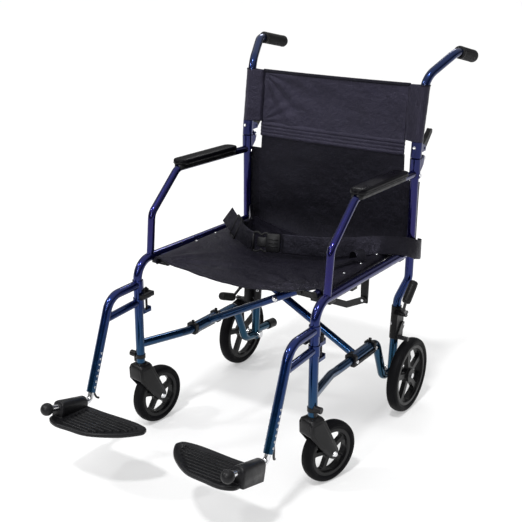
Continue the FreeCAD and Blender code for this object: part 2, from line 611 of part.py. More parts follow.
def brace_line(y, share):
    """A point on the centre line of the front brace, from its sleeve (0) to its rail (1)."""
    low = Vector(-LOWER_X, y, PIVOT_Z)
    return low + (Vector(RAIL_X, y, RAIL_Z) - low) * share


def brace(y, sleeve):
    """Brace tube from a sleeve on the right lower tube to the left seat rail."""
    start = tuple(brace_line(y, 0))
    end = tuple(brace_line(y, 1))
    bar = tube([start, end], BRACE_R)
    low = (-LOWER_X, sleeve[0], PIVOT_Z)
    high = (-LOWER_X, sleeve[1], PIVOT_Z)
    pipe = cylinder(14.6, low, high)
    bar = bar.cut(cylinder(14.5, low, high))
    bar = bar.cut(cylinder(RAIL_R, (RAIL_X, -300, RAIL_Z), (RAIL_X, 300, RAIL_Z)))
    boss = cylinder(9, (0, y - 10, CROSS_Z), (0, y + 10, CROSS_Z))
    link_boss = cylinder(7, (LINK_BOLT[0], y - 10.5, LINK_BOLT[1]), (LINK_BOLT[0], y + 10.5, LINK_BOLT[1]))
    whole = fuse([bar, pipe, boss, link_boss])
    whole = whole.cut(cylinder(TUBE_R + GAP, (-LOWER_X, -90, PIVOT_Z), (-LOWER_X, 160, PIVOT_Z)))
    return whole.cut(cylinder(4 + RUNNING, (0, y - 40, CROSS_Z), (0, y + 40, CROSS_Z)))


def brace_front():
    """Front brace, from the right lower tube to the left seat rail."""
    return brace(BRACE_FRONT_Y, SLEEVES["right"])


def brace_rear():
    """Rear brace, from the left lower tube to the right seat rail."""
    return mirrored(brace(BRACE_REAR_Y, SLEEVES["left"]))


def seat_rail():
    """Seat rail welded to the top of a brace, with a black plug at each end."""
    return tube([(RAIL_X, -168, RAIL_Z), (RAIL_X, 236, RAIL_Z)], RAIL_R)


def cross_bolt():
    """Bolt and nut where the braces cross."""
    bolt = dome_bolt(8, 4, (0, BRACE_FRONT_Y - 10.4, CROSS_Z), (0, BRACE_REAR_Y + 17, CROSS_Z))
    nut = cylinder(7.5, (0, BRACE_REAR_Y + 10.4, CROSS_Z), (0, BRACE_REAR_Y + 17, CROSS_Z))
    return fuse([bolt, nut])


def link_y(side):
    """Front face of a side link: ahead of the front brace, or behind the rear one."""
    return BRACE_FRONT_Y - 16.5 if side == "left" else BRACE_REAR_Y + 12.5


def side_link(side):
    """Dog-legged flat link from the frame to a brace, with the rivet in its lower end."""
    y = link_y(side)
    thickness = 4.0
    stations = [Vector(LINK_PIVOT[0], y, LINK_PIVOT[1]), Vector(LINK_LOW[0], y, LINK_LOW[1]),
                Vector(LINK_BOLT[0], y, LINK_BOLT[1])]
    pieces = []
    for a, b in zip(stations, stations[1:]):
        along = (b - a).normalize()
        across = Vector(along.z, 0, -along.x) * 8
        corners = [a + across, b + across, b - across, a - across]
        pieces.append(Part.Face(Part.makePolygon(corners + corners[:1])).extrude(Vector(0, thickness, 0)))
    for station in stations:
        pieces.append(Part.makeCylinder(8, thickness, station, Vector(0, 1, 0)))
    head, tail = (y - 3.4, y + thickness + 1.5) if side == "left" else (y - 1.5, y + thickness + 3.4)
    pieces.append(cylinder(7, (LINK_BOLT[0], head, LINK_BOLT[1]), (LINK_BOLT[0], tail, LINK_BOLT[1])))
    pivot = Part.makeCylinder(3.5 + RUNNING, thickness, stations[0], Vector(0, 1, 0))
    return fuse(pieces).cut(pivot)


def link_bracket(side):
    """Flat bracket that hangs the side link's pivot under the seat tube."""
    y = link_y(side) + 4.6
    corners = [Vector(FRAME_X - 9, y, 384), Vector(FRAME_X + 9, y, 384), Vector(FRAME_X + 10, y, 452),
               Vector(FRAME_X - 10, y, 452)]
    plate = Part.Face(Part.makePolygon(corners + corners[:1])).extrude(Vector(0, 5, 0))
    plate = plate.cut(rod(SIDE_PATH, TUBE_R + 0.05, SIDE_BENDS))
    pin = cylinder(3.5, (LINK_PIVOT[0], y - 20, LINK_PIVOT[1]), (LINK_PIVOT[0], y + 20, LINK_PIVOT[1]))
    return plate.cut(pin).Solids[0]


# Seat, back and belt: plain closed solids where the cloth lies

def seat_sling():
    """Seat cloth between the rails, sagging in the middle."""
    edge_x = RAIL_X - RAIL_R - 1
    top, sag, thick = 461.0, 19.0, 3.0
    y_low = -165.0
    upper = [Vector(-edge_x, y_low, top), Vector(0, y_low, top - sag), Vector(edge_x, y_low, top)]
    lower = [p - UP * thick for p in upper]
    edges = [Part.Arc(*upper).toShape(), Part.LineSegment(upper[2], lower[2]).toShape(),
             Part.Arc(*lower[::-1]).toShape(), Part.LineSegment(lower[0], upper[0]).toShape()]
    return Part.Face(Part.Wire(edges)).extrude(Vector(0, 395, 0))


def back_panel(lower):
    """Back cloth: the part below the hinge lies behind the posts, the part above is between the tubes."""
    if lower:
        back_y = REAR_Y + 12.6
        wide = box((-262, back_y, 470), (262, back_y + 3, 636))
        narrow = box((-232, back_y, 636), (232, back_y + 3, 684))
        return fuse([wide, narrow])
    half = FRAME_X - 19
    return plate_yz([(268, 696), (271, 696), (285, 868), (282, 868)], -half, half)


def band(points, height, thickness):
    """A strap standing on edge along points at its lower edge."""
    pieces = []
    for a, b in zip(points, points[1:]):
        first, last = Vector(*a), Vector(*b)
        normal = (last - first).cross(UP).normalize() * thickness
        corners = [first, last, last + UP * height, first + UP * height]
        pieces.append(Part.Face(Part.makePolygon(corners + corners[:1])).extrude(normal))
    return fuse(pieces) if len(pieces) > 1 else pieces[0]


def belt_strap():
    """Lap belt: the long left strap, and the short right strap that carries the buckle."""
    long_strap = band([(-84, 122, 452), (-10, 152, 450), (150, 222, 464), (238, 244, 464)], 34, 2.5)
    short_strap = band([(-238, 236, 464), (-200, 190, 464), (-150, 104, 462)], 34, 2.5)
    return group([long_strap, short_strap])


def belt_buckle():
    """Body of the belt's side-release buckle."""
    body = box((-144, 98, 452), (-86, 112, 492))
    body = body.makeFillet(4, body.Edges)
    return turned(body, 18, (-115, 105, 470))


def save(name, shape):
    """Write one node, moved to the chair's origin."""
    placed = shape.copy()
    placed.translate(Vector(0, SHIFT_Y, 0))
    placed.exportStep("parts/%s.step" % name)


def main():
    os.makedirs("parts", exist_ok=True)
    both_sides = {
        "side_tube": side_tube(), "rear_post": rear_post(), "arm_tube": arm_tube(),
        "lower_tube": lower_tube(), "arm_pad": arm_pad(), "back_hinge": back_hinge(),
        "back_tube": back_tube(), "grip": grip(), "back_lever": back_lever(),
        "brake_bracket": brake_bracket(), "hanger_tube": hanger_tube(), "hanger_latch": hanger_latch(),
        "footrest_rod": footrest_rod(), "footplate": footplate(), "seat_rail": seat_rail()}
    both_sides["rear_tyre"], both_sides["rear_rim"] = rear_wheel()
    for name, shape in both_sides.items():
        save(name + "_left", shape)
        save(name + "_right", mirrored(shape))
    for side, reflect, forward, pressed in (("left", lambda shape: shape, 0, 0),
                                            ("right", mirrored, BRAKE_SWING, SHOE_SWING)):
        caps = [frame_caps(), pivot_saddle(*SLEEVES[side]), link_bracket(side)]
        save("frame_caps_" + side, reflect(group(caps)))
        save("frame_bolts_" + side, reflect(frame_bolts(side)))
        save("brake_lever_" + side, reflect(brake_lever(forward)))
        save("brake_shoe_" + side, reflect(brake_shoe(pressed)))
        save("side_link_" + side, reflect(side_link(side)))
        save("caster_fork_" + side, caster_fork(side))
        save("caster_axle_" + side, caster_axle(side))
        tyre, rim = caster_wheel(side)
        save("caster_tyre_" + side, tyre)
        save("caster_rim_" + side, rim)
    save("brace_front", brace_front())
    save("brace_rear", brace_rear())
    save("cross_bolt", cross_bolt())
    save("seat_sling", seat_sling())
    save("back_panel_lower", back_panel(True))
    save("back_panel_upper", back_panel(False))
    save("belt_strap", belt_strap())
    save("belt_buckle", belt_buckle())


main()
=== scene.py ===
"""Looks of the folding transport wheelchair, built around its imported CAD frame.

Metres, in the frame of the CAD part: +X is the occupant's left, -Y is the front, +Z is up.
"""
import json
import math

import bmesh
import bpy
from mathutils import Matrix, Vector, noise


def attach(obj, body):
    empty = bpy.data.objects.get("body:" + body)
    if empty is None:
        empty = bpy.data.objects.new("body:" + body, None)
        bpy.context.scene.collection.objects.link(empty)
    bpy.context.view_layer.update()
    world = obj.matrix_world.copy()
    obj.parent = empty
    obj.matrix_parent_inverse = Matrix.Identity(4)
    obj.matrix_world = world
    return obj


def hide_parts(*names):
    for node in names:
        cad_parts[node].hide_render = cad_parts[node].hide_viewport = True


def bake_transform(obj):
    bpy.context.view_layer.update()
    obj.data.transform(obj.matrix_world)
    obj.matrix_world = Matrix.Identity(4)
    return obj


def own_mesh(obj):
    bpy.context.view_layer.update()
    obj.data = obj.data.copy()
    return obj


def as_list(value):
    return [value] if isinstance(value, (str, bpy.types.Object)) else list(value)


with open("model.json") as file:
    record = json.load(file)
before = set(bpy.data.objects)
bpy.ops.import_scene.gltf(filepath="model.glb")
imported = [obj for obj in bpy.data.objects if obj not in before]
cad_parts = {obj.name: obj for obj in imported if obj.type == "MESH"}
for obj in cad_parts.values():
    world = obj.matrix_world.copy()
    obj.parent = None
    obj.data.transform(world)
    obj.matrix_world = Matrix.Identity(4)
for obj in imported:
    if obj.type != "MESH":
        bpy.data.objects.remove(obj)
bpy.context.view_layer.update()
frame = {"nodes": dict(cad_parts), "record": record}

SIDES = {"left": 1, "right": -1}
SHIFT_Y = 33.4       # the part's own move to its origin, in millimetres
SIDE_X = 254.0       # the plane of a side frame's tubes
UP = Vector((0, 0, 1))
REAR = Vector((0, 1, 0))
WHITE = (1.0, 1.0, 1.0, 1.0)


# Mesh helpers.  Sizes in their arguments are in millimetres, as in the part.

def at(x, y, z):
    """A point in metres, from the part's millimetres before they were moved to its origin."""
    return Vector((x, y + SHIFT_Y, z)) / 1000


def piece(name, vertices, faces, material):
    """A smoothly shaded mesh object with one material."""
    mesh = bpy.data.meshes.new(name)
    mesh.from_pydata([tuple(v) for v in vertices], [], faces)
    shell = bmesh.new()
    shell.from_mesh(mesh)
    bmesh.ops.recalc_face_normals(shell, faces=shell.faces)
    shell.to_mesh(mesh)
    shell.free()
    mesh.materials.append(material)
    mesh.polygons.foreach_set("use_smooth", [True] * len(mesh.polygons))
    made = bpy.data.objects.new(name, mesh)
    bpy.context.collection.objects.link(made)
    return made


def loft(rings, capped=True, closed=True):
    """Vertices and faces of a skin over rings that have the same number of points."""
    count = len(rings[0])
    vertices = [point for ring in rings for point in ring]
    faces = []
    for low in range(0, (len(rings) - 1) * count, count):
        for j in range(count if closed else count - 1):
            k = (j + 1) % count
            faces.append((low + j, low + k, low + count + k, low + count + j))
    if capped:
        faces.append(tuple(range(count - 1, -1, -1)))
        faces.append(tuple(range((len(rings) - 1) * count, len(rings) * count)))
    return vertices, faces


def smoothed(points, steps):
    """Points on a smooth curve through the given points."""
    ends = [points[0] * 2 - points[1]] + list(points) + [points[-1] * 2 - points[-2]]
    path = []
    for a, b, c, d in zip(ends, ends[1:], ends[2:], ends[3:]):
        for index in range(steps):
            t = index / steps
            path.append(0.5 * (2 * b + (c - a) * t + (2 * a - 5 * b + 4 * c - d) * t * t
                               + (3 * b - a - 3 * c + d) * t ** 3))
    return path + [points[-1]]


def directions(path):
    """The direction of travel at each point of a path."""
    last = len(path) - 1
    return [(path[min(i + 1, last)] - path[max(i - 1, 0)]).normalized() for i in range(last + 1)]


def circle(centre, side, over, radius, count):
    """Points round a centre in the plane of two directions; the radius is in millimetres."""
    turns = (2 * math.pi * index / count for index in range(count))
    return [centre + (side * math.cos(a) + over * math.sin(a)) * (radius / 1000) for a in turns]


def round_sweep(path, radius, sides, reference=UP):
    """Rings of a round cord along a path that never runs along the reference direction."""
    rings = []
    for point, ahead in zip(path, directions(path)):
        side = ahead.cross(reference).normalized()
        rings.append(circle(point, side, side.cross(ahead), radius, sides))
    return rings


def mirrored(half_section):
    """A section in full, from the points of its right half."""
    return half_section + [(-u, v) for u, v in half_section[::-1]]


def flat_sweep(path, across, width, thickness):
    """Rings of a webbing strap along a path; across holds the direction of its width at each point."""
    rings = []
    section = mirrored([(0.46, -0.5), (0.5, -0.3), (0.5, 0.3), (0.46, 0.5)])
    for point, ahead, wide in zip(path, directions(path), across):
        wide = (wide - ahead * wide.dot(ahead)).normalized()
        thick = ahead.cross(wide)
        rings.append([point + (wide * (u * width) + thick * (v * thickness)) / 1000 for u, v in section])
    return rings


def lathe(profile, centre, axis, segments):
    """Rings about an axis through centre; the profile is (distance along the axis, radius)."""
    axis = Vector(axis).normalized()
    side = axis.cross(UP if abs(axis.z) < 0.9 else Vector((1, 0, 0))).normalized()
    over = axis.cross(side)
    return [circle(centre + axis * (along / 1000), side, over, radius, segments)
            for along, radius in profile]


def applied(made):
    """Replace a piece's mesh by what its modifiers make of it."""
    graph = bpy.context.evaluated_depsgraph_get()
    mesh = bpy.data.meshes.new_from_object(made.evaluated_get(graph))
    made.modifiers.clear()
    made.data = mesh


def thickened(made, thickness):
    """Give a cloth surface its thickness, half on each side."""
    solid = made.modifiers.new("thickness", "SOLIDIFY")
    solid.thickness = thickness / 1000
    solid.offset = 0.0
    applied(made)


def joined(name, parts, material):
    """One piece from several lists of vertices and faces."""
    vertices, faces = [], []
    for part_vertices, part_faces in parts:
        start = len(vertices)
        vertices += part_vertices
        faces += [tuple(index + start for index in face) for face in part_faces]
    return piece(name, vertices, faces, material)


def stitch_row(path, pitch=4.6, width=0.9):
    """Vertices and faces of a row of short raised stitches along a path, pitch millimetres apart."""
    vertices, faces = [], []
    travelled = 0.0
    for a, b in zip(path, path[1:]):
        step = (b - a).length
        while travelled < step:
            ahead = (b - a).normalized()
            first = a + ahead * travelled
            last = first + ahead * (pitch * 0.65 / 1000)
            side = ahead.cross(UP)
            if side.length < 0.1:
                side = ahead.cross(REAR)
            side = side.normalized() * (width / 2000)
            over = side.normalized().cross(ahead) * (width / 2500)
            middle = (first + last) / 2
            start = len(vertices)
            vertices += [first, middle + side, last, middle - side, middle + over, middle - over]
            for near, far in ((0, 1), (1, 2), (2, 3), (3, 0)):
                faces += [(start + near, start + far, start + 4), (start + far, start + near, start + 5)]
            travelled += pitch / 1000
        travelled -= step
    return vertices, faces


def upright_bar(path, radius):
    """Vertices and faces of a round bar along a path that is close to vertical."""
    return loft(round_sweep(path, radius, 12, REAR))


# Node-based materials

class Shader:
    """The node tree of a material or world, with short ways to add what several of them share."""

    def __init__(self, name, kind="materials", last_node="Principled BSDF"):
        self.owner = getattr(bpy.data, kind).new(name)
        self.owner.use_nodes = True
        self.tree = self.owner.node_tree
        self.surface = self.tree.nodes[last_node]
        self.coordinates = self.tree.nodes.new("ShaderNodeTexCoord").outputs
        self.place = self.coordinates["Object"]

    def set(self, **values):
        """Set sockets of the last shader node by name, with spaces written as underscores."""
        for name, value in values.items():
            self.surface.inputs[name.replace("_", " ")].default_value = value

    def link(self, output, socket):
        """Lead an output into a socket of the last shader node."""
        self.tree.links.new(output, self.surface.inputs[socket])

    def node(self, kind, inputs=(), **settings):
        """A new node; an input is the output that leads into it, or its value."""
        made = self.tree.nodes.new("ShaderNode" + kind)
        for name, value in settings.items():
            setattr(made, name, value)
        for key, value in dict(inputs).items():
            if isinstance(value, bpy.types.NodeSocket):
                self.tree.links.new(value, made.inputs[key])
            else:
                made.inputs[key].default_value = value
        return made

    def noise(self, scale, detail=3.0, roughness=0.5, stretch=(1, 1, 1)):
        """Noise over the object; stretch scales the place along each axis."""
        where = self.node("Mapping", {"Vector": self.place, "Scale": stretch}).outputs["Vector"]
        inputs = {"Vector": where, "Scale": scale, "Detail": detail, "Roughness": roughness}
        return self.node("TexNoise", inputs).outputs["Fac"]

    def ramp(self, value, stops):
        """A colour ramp: stops are (position, colour), and a colour is grey or (r, g, b)."""
        made = self.node("ValToRGB", {"Fac": value})
        elements = made.color_ramp.elements
        while len(elements) < len(stops):
            elements.new(0.5)
        for element, (position, colour) in zip(elements, stops):
            element.position = position
            rgb = colour if isinstance(colour, tuple) else (colour,) * 3
            element.color = (*rgb, 1.0)
        return made.outputs["Color"]

    def math(self, operation, a, b=0.0):
        return self.node("Math", {0: a, 1: b}, operation=operation).outputs["Value"]

    def mix(self, share, a, b, blend="MIX"):
        return self.node("Mix", {0: share, 6: a, 7: b}, data_type="RGBA", blend_type=blend).outputs[2]

    def axis(self, name):
        return self.node("SeparateXYZ", {"Vector": self.place}).outputs[name]

    def bump(self, heights, edge=0.0):
        """Relief from (height, strength, distance) layers, over edges rounded in shading."""
        normal = None
        if edge:
            normal = self.node("Bevel", {"Radius": edge}, samples=4).outputs["Normal"]
        for height, strength, distance in heights:
            inputs = {"Height": height, "Strength": strength, "Distance": distance}
            if normal is not None:
                inputs["Normal"] = normal
            normal = self.node("Bump", inputs).outputs["Normal"]
        self.link(normal, "Normal")


def frame_paint():
    """Metallic blue lacquer on tube with flake and orange peel; violet-blue above and greener below is a
    painted reflection of the lighting.
    """
    s = Shader("frame_paint")
    # Painted reflection: the tint goes from green-blue low down to violet-blue higher up, with a wavering
    # edge, as the lighting reflects in the paint.
    reflection_waver = s.noise(9.0, 2.0)
    height = s.math("ADD", s.axis("Z"), s.math("MULTIPLY", reflection_waver, 0.12))
    tint = s.ramp(height, [(0.20, (0.001, 0.046, 0.092)), (0.40, (0.002, 0.020, 0.104)),
                           (0.56, (0.010, 0.006, 0.088)), (0.95, (0.003, 0.014, 0.070))])
    flake = s.node("TexVoronoi", {"Vector": s.place, "Scale": 2600.0}).outputs["Color"]
    sparkle = s.ramp(flake, [(0.0, 0.75), (1.0, 1.3)])
    s.link(s.mix(1.0, tint, sparkle, "MULTIPLY"), "Base Color")
    s.link(s.ramp(s.noise(60.0, 4.0), [(0.3, 0.13), (0.75, 0.24)]), "Roughness")
    s.set(Metallic=0.9, Coat_Weight=0.5, Coat_Roughness=0.04, Coat_IOR=1.4)
    s.bump([(s.noise(420.0, 1.0), 0.05, 0.0004)], edge=0.0008)
    return s.owner


def moulded(name, colour, roughness, grain, edge=0.0012, shine=0.2):
    """Moulded black plastic: fine grain, scuffs and slightly paler rubbed patches."""
    s = Shader(name)
    patches = s.noise(14.0, 5.0, 0.6)
    dark = tuple(c * 0.72 for c in colour)
    light = tuple(c * 1.5 for c in colour)
    s.link(s.ramp(patches, [(0.32, dark), (0.55, colour), (0.8, light)]), "Base Color")
    low, high = roughness
    s.link(s.ramp(s.noise(48.0, 4.0), [(0.3, low), (0.7, high)]), "Roughness")
    s.set(Specular_IOR_Level=shine)
    fine = s.noise(grain, 2.0, 0.6)
    coarse = s.noise(grain * 0.22, 2.0)
    s.bump([(fine, 0.22, 0.0004), (coarse, 0.12, 0.0007)], edge)
    return s.owner


def satin_steel():
    """Black powder coat on steel."""
    s = Shader("black_steel")
    shades = [(0.3, (0.005, 0.005, 0.006)), (0.8, (0.011, 0.011, 0.013))]
    s.link(s.ramp(s.noise(30.0, 4.0), shades), "Base Color")
    s.link(s.ramp(s.noise(80.0), [(0.3, 0.30), (0.7, 0.44)]), "Roughness")
    s.set(Specular_IOR_Level=0.35, Coat_Weight=0.12, Coat_Roughness=0.2)
    s.bump([(s.noise(700.0, 2.0), 0.18, 0.0004)], edge=0.0008)
    return s.owner


def tyre_rubber():
    """Solid grey-black tyre with fine mould texture and paler worn patches."""
    s = Shader("tyre_rubber")
    worn = s.noise(22.0, 5.0, 0.65)
    s.link(s.ramp(worn, [(0.3, (0.002, 0.002, 0.003)), (0.6, (0.004, 0.004, 0.005)),
                         (0.85, (0.010, 0.0097, 0.0100))]), "Base Color")
    s.link(s.ramp(s.noise(40.0), [(0.3, 0.50), (0.7, 0.68)]), "Roughness")
    s.set(Specular_IOR_Level=0.07)
    s.bump([(s.noise(900.0, 2.0), 0.25, 0.0004), (s.noise(70.0), 0.12, 0.0008)])
    return s.owner


def bright_steel():
    """Plated steel with faint polishing marks and a little dulling."""
    s = Shader("bright_steel")
    s.link(s.ramp(s.noise(35.0, 4.0), [(0.3, (0.62, 0.63, 0.65)), (0.7, (0.80, 0.80, 0.82))]), "Base Color")
    marks = s.noise(260.0, 3.0, 0.6, stretch=(1.0, 0.15, 1.0))
    s.link(s.ramp(marks, [(0.3, 0.10), (0.75, 0.26)]), "Roughness")
    s.set(Metallic=1.0)
    s.bump([(marks, 0.05, 0.0003)], edge=0.0006)
    return s.owner


def weave(s, threads, across, along):
    """Height of a plain weave: two crossed rows of thread, in the plane of two axes."""
    rows = [s.math("SINE", s.math("MULTIPLY", s.axis(axis), threads * 2 * math.pi))
            for axis in (across, along)]
    return s.math("MULTIPLY", *rows)


def nylon(name, colour, across, along, threads=900.0, sheen=0.05, shine=0.3):
    """Coated nylon cloth: plain weave, soft sheen, paler worn patches and small folds."""
    s = Shader(name)
    threads_height = weave(s, threads, across, along)
    fibre = s.noise(1500.0, 2.0, 0.6)
    worn = s.noise(7.0, 6.0, 0.62)
    dark = tuple(c * 0.6 for c in colour)
    light = tuple(c * 1.9 for c in colour)
    s.link(s.ramp(worn, [(0.3, dark), (0.52, colour), (0.82, light)]), "Base Color")
    s.link(s.ramp(s.noise(26.0, 4.0), [(0.3, 0.28), (0.72, 0.48)]), "Roughness")
    s.set(Specular_IOR_Level=shine, Sheen_Weight=sheen, Sheen_Roughness=0.4)
    for tint in ("Sheen Tint", "Specular Tint"):
        s.surface.inputs[tint].default_value = (0.74, 0.70, 1.0, 1.0)
    folds = s.noise(13.0, 8.0, 0.62)
    s.bump([(threads_height, 0.35, 0.0004), (fibre, 0.12, 0.0003), (s.noise(120.0, 4.0), 0.18, 0.0012),
            (folds, 0.75, 0.014)])
    return s.owner


PAINT = frame_paint()
PLASTIC = moulded("black_plastic", (0.0085, 0.0085, 0.0098), (0.28, 0.46), 1500.0)
WHEEL_PLASTIC = moulded("wheel_plastic", (0.0065, 0.0064, 0.0072), (0.26, 0.42), 1200.0, 0.0015)
PAD_SKIN = moulded("pad_skin", (0.0024, 0.0021, 0.0036), (0.26, 0.40), 900.0, shine=0.08)
GRIP_RUBBER = moulded("grip_rubber", (0.0075, 0.0075, 0.0085), (0.44, 0.60), 800.0)
BLACK_STEEL = satin_steel()
TYRE = tyre_rubber()
CHROME = bright_steel()
SEAT_CLOTH = nylon("seat_nylon", (0.0030, 0.0027, 0.0048), "X", "Y", sheen=0.03, shine=0.34)
BACK_CLOTH = nylon("back_nylon", (0.0080, 0.0070, 0.0140), "X", "Z", sheen=0.08, shine=0.40)
SHADED_CLOTH = nylon("lower_back_nylon", (0.0040, 0.0040, 0.0055), "X", "Z", sheen=0.02, shine=0.2)
WEBBING = nylon("belt_webbing", (0.0045, 0.0045, 0.0055), "X", "Z", threads=480.0, sheen=0.03, shine=0.25)
THREAD = nylon("sewing_thread", (0.020, 0.019, 0.026), "X", "Y", threads=1500.0)
SLOT_MATERIALS = {"frame_paint": PAINT, "black_plastic": PLASTIC, "black_steel": BLACK_STEEL, "tyre": TYRE,
                  "soft_grip": GRIP_RUBBER, "bright_steel": CHROME, "nylon_cloth": SEAT_CLOTH}


def finish_cad_nodes():
    """Give every CAD node the detailed material of its slot."""
    for row in frame["record"]["subparts"]:
        data = frame["nodes"][row["node"]].data
        data.materials.clear()
        data.materials.append(SLOT_MATERIALS[row["material_slot"]])
    for side in SIDES:
        for node in ("caster_rim_", "rear_rim_"):
            frame["nodes"][node + side].data.materials[0] = WHEEL_PLASTIC


# Upholstery

def settle(cloth, pinned, frames, slack):
    """Let a cloth surface with a little spare length hang from its pinned points, and keep the result."""
    cloth.vertex_groups.new(name="pinned").add(pinned, 1.0, "ADD")
    modifier = cloth.modifiers.new("settle", "CLOTH")
    settings = {"quality": 5, "mass": 0.35, "tension_stiffness": 40, "compression_stiffness": 12,
                "shear_stiffness": 12, "bending_stiffness": 0.4, "shrink_min": -slack,
                "vertex_group_mass": "pinned"}
    for name, value in settings.items():
        setattr(modifier.settings, name, value)
    modifier.collision_settings.use_collision = False
    modifier.point_cache.frame_end = frames
    for frame_number in range(1, frames + 1):
        bpy.context.scene.frame_set(frame_number)
    applied(cloth)
    cloth.vertex_groups.clear()
    bpy.context.scene.frame_set(1)


def crease_fan(x, y, corner, towards, reach, lines, height):
    """Height of creases that fan out from a corner, fading with distance; all in millimetres."""
    away = Vector((x - corner[0], y - corner[1]))
    distance = away.length
    angle = math.atan2(away.y, away.x) - towards
    spread = math.exp(-(angle / 0.85) ** 2)
    fade = min(distance / 22, 1.0) * math.exp(-(distance / reach) ** 1.5)
    wander = 0.5 * noise.noise(Vector((x, y, 0)) * 0.018)
    return height * fade * spread * math.sin(lines * angle + 3 * wander)


def cloth_grid(name, across, along, place, material):
    """A cloth surface over two lists of stations; place gives the point at each pair."""
    rows = [[place(u, v) for u in across] for v in along]
    return piece(name, *loft(rows, capped=False, closed=False), material)


def stations(low, high, count):
    """Evenly spaced numbers from low to high."""
    return [low + (high - low) * index / (count - 1) for index in range(count)]


RAIL_X, RAIL_Z, RAIL_R = 219.0, 452.0, 10.4     # seat rail's centre, and the cloth's middle about it
SEAT_BACK = 247.0   # Y of the seat cloth's rear edge
WRAP = (-66, -48, -30, -12, 6, 24, 42, 60, 78)  # degrees round the rail, from its outer side to its top
# Creases from the seat's corners: corner, direction, reach, number of lines and height.
SEAT_FANS = (((212, -150), math.radians(150), 175, 21, 7.0), ((-212, -175), math.radians(40), 150, 17, 4.6),
             ((212, 232), math.radians(215), 110, 13, 1.8), ((-212, 232), math.radians(-35), 120, 13, 1.8))


def seat_front(x):
    """Y of the seat cloth's front edge: it is pulled further forward on the occupant's right."""
    half = 228.0
    return -167.0 + 35.0 * x / (2 * half) + 5.0 * (1 - (x / half) ** 2)


def seat_y(x, share):
    """Y between the seat cloth's front edge (0) and its rear edge (1)."""
    front = seat_front(x)
    return front + (SEAT_BACK - front) * share


def seat_point(x, share):
    """A point of the seat cloth before it settles; share goes from its front edge to its back."""
    sag = 17.0 - 6.0 * share
    z = RAIL_Z + RAIL_R - 0.4 - sag * (1 - (x / RAIL_X) ** 2)
    return at(x, seat_y(x, share), z)


def seat_wrap(side, share):
    """Points round a seat rail, from the cloth's edge at its outer side to the rail's top."""
    y = seat_y(side * RAIL_X, share)
    return [at(side * (RAIL_X + RAIL_R * math.cos(a)), y, RAIL_Z + RAIL_R * math.sin(a))
            for a in (math.radians(degrees) for degrees in WRAP)]


def seat_creases(x, y):
    """Rise of the seat cloth: corner creases, soft waves and a crumpled front left corner."""
    inside = max(0.0, min(1.0, (214 - abs(x)) / 26))
    rise = sum(crease_fan(x, y, *fan) for fan in SEAT_FANS)
    rise += 2.6 * noise.fractal(Vector((x, y * 0.6, 0)) * 0.012, 0.8, 2.1, 5)
    crumpled = math.exp(-((x - 140) / 80) ** 2 - ((y + 118) / 42) ** 2)
    rise += 12.0 * crumpled * (0.28 - abs(noise.noise(Vector((x * 0.9, y * 1.3, 4)) * 0.045)))
    return inside * rise


def spots(cloth, indices):
    """Places of some of a piece's vertices."""
    return [cloth.data.vertices[index].co.copy() for index in indices]


def seat_cloth():
    """Seat upholstery: one sheet over both rails, slung between them, with creases at its corners."""
    across = stations(-RAIL_X, RAIL_X, 89)
    rows = [seat_wrap(-1, share) + [seat_point(x, share) for x in across] + seat_wrap(1, share)[::-1]
            for share in stations(0, 1, 81)]
    cloth = piece("seat_cloth", *loft(rows, capped=False, closed=False), SEAT_CLOTH)
    width = len(rows[0])
    held = len(WRAP) + 2
    pinned = [index for index in range(len(rows) * width) if not held <= index % width < width - held]
    settle(cloth, pinned, 24, 0.002)
    for vertex in cloth.data.vertices:
        vertex.co.z += seat_creases(vertex.co.x * 1000, vertex.co.y * 1000 - SHIFT_Y) / 1000
    front = spots(cloth, range(5, width - 5))
    sides = [spots(cloth, range(column, len(rows) * width, width)) for column in (3, width - 4)]
    thickened(cloth, 1.8)
    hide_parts("seat_sling")
    piping = piece("seat_piping", *loft(round_sweep([p + Vector((0, -0.001, 0)) for p in front], 2.3, 8)),
                   SHADED_CLOTH)
    seam = piece("seat_front_seam", *stitch_row([p + Vector((0, 0.013, 0.0014)) for p in front]), THREAD)
    side_hems = [loft(round_sweep([p + Vector((out * 0.0022, 0, 0)) for p in path], 2.6, 8))
                 for out, path in zip((-1, 1), sides)]
    hems = joined("seat_side_hems", side_hems, SHADED_CLOTH)
    for made in (cloth, piping, seam, hems):
        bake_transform(made)


PANEL_X, PANEL_LOW, PANEL_TOP = 217.0, 691.0, 866.0     # upper back panel: half its width, its foot and top
CHANNEL = 9.0   # height of one of its four sewn channels
CHANNELS_TOP = PANEL_LOW + 4 * CHANNEL
LOWER_X, LOWER_LOW, LOWER_TOP = 262.0, 421.0, 692.0     # lower back panel, with its wings


def tube_centre(side, z):
    """Centre of a back tube at a height, where its upholstery sleeve goes."""
    share = (z - 710.0) / 176.0
    return side * (SIDE_X + 2.0 * share), 260.0 + 26.0 * share


def panel_y(x, z):
    """Y of the back panel: nearly flat, with a shallow belly between the sleeves."""
    belly = 9.0 * (1 - (x / PANEL_X) ** 2) * math.sin(math.pi * (z - 690.0) / 200.0)
    return 270.5 + 14.0 * (z - 696.0) / 172.0 + belly


def ridges(z):
    """Relief of the four sewn channels across the foot of the back panel."""
    if not PANEL_LOW < z < CHANNELS_TOP:
        return 0.0
    return 2.4 * abs(math.sin(math.pi * (z - PANEL_LOW) / CHANNEL)) ** 0.6


def back_creases(x, z):
    """Diagonal pulls across the upper back, strongest at its upper corners."""
    height = crease_fan(x, z, (-214, 862), math.radians(-38), 190, 14, 3.4)
    height += crease_fan(x, z, (214, 862), math.radians(216), 150, 13, 2.6)
    height += crease_fan(x, z, (-214, 735), math.radians(25), 130, 12, 2.2)
    return height + 2.4 * noise.fractal(Vector((x * 0.7, z, 5)) * 0.013, 0.8, 2.1, 5)


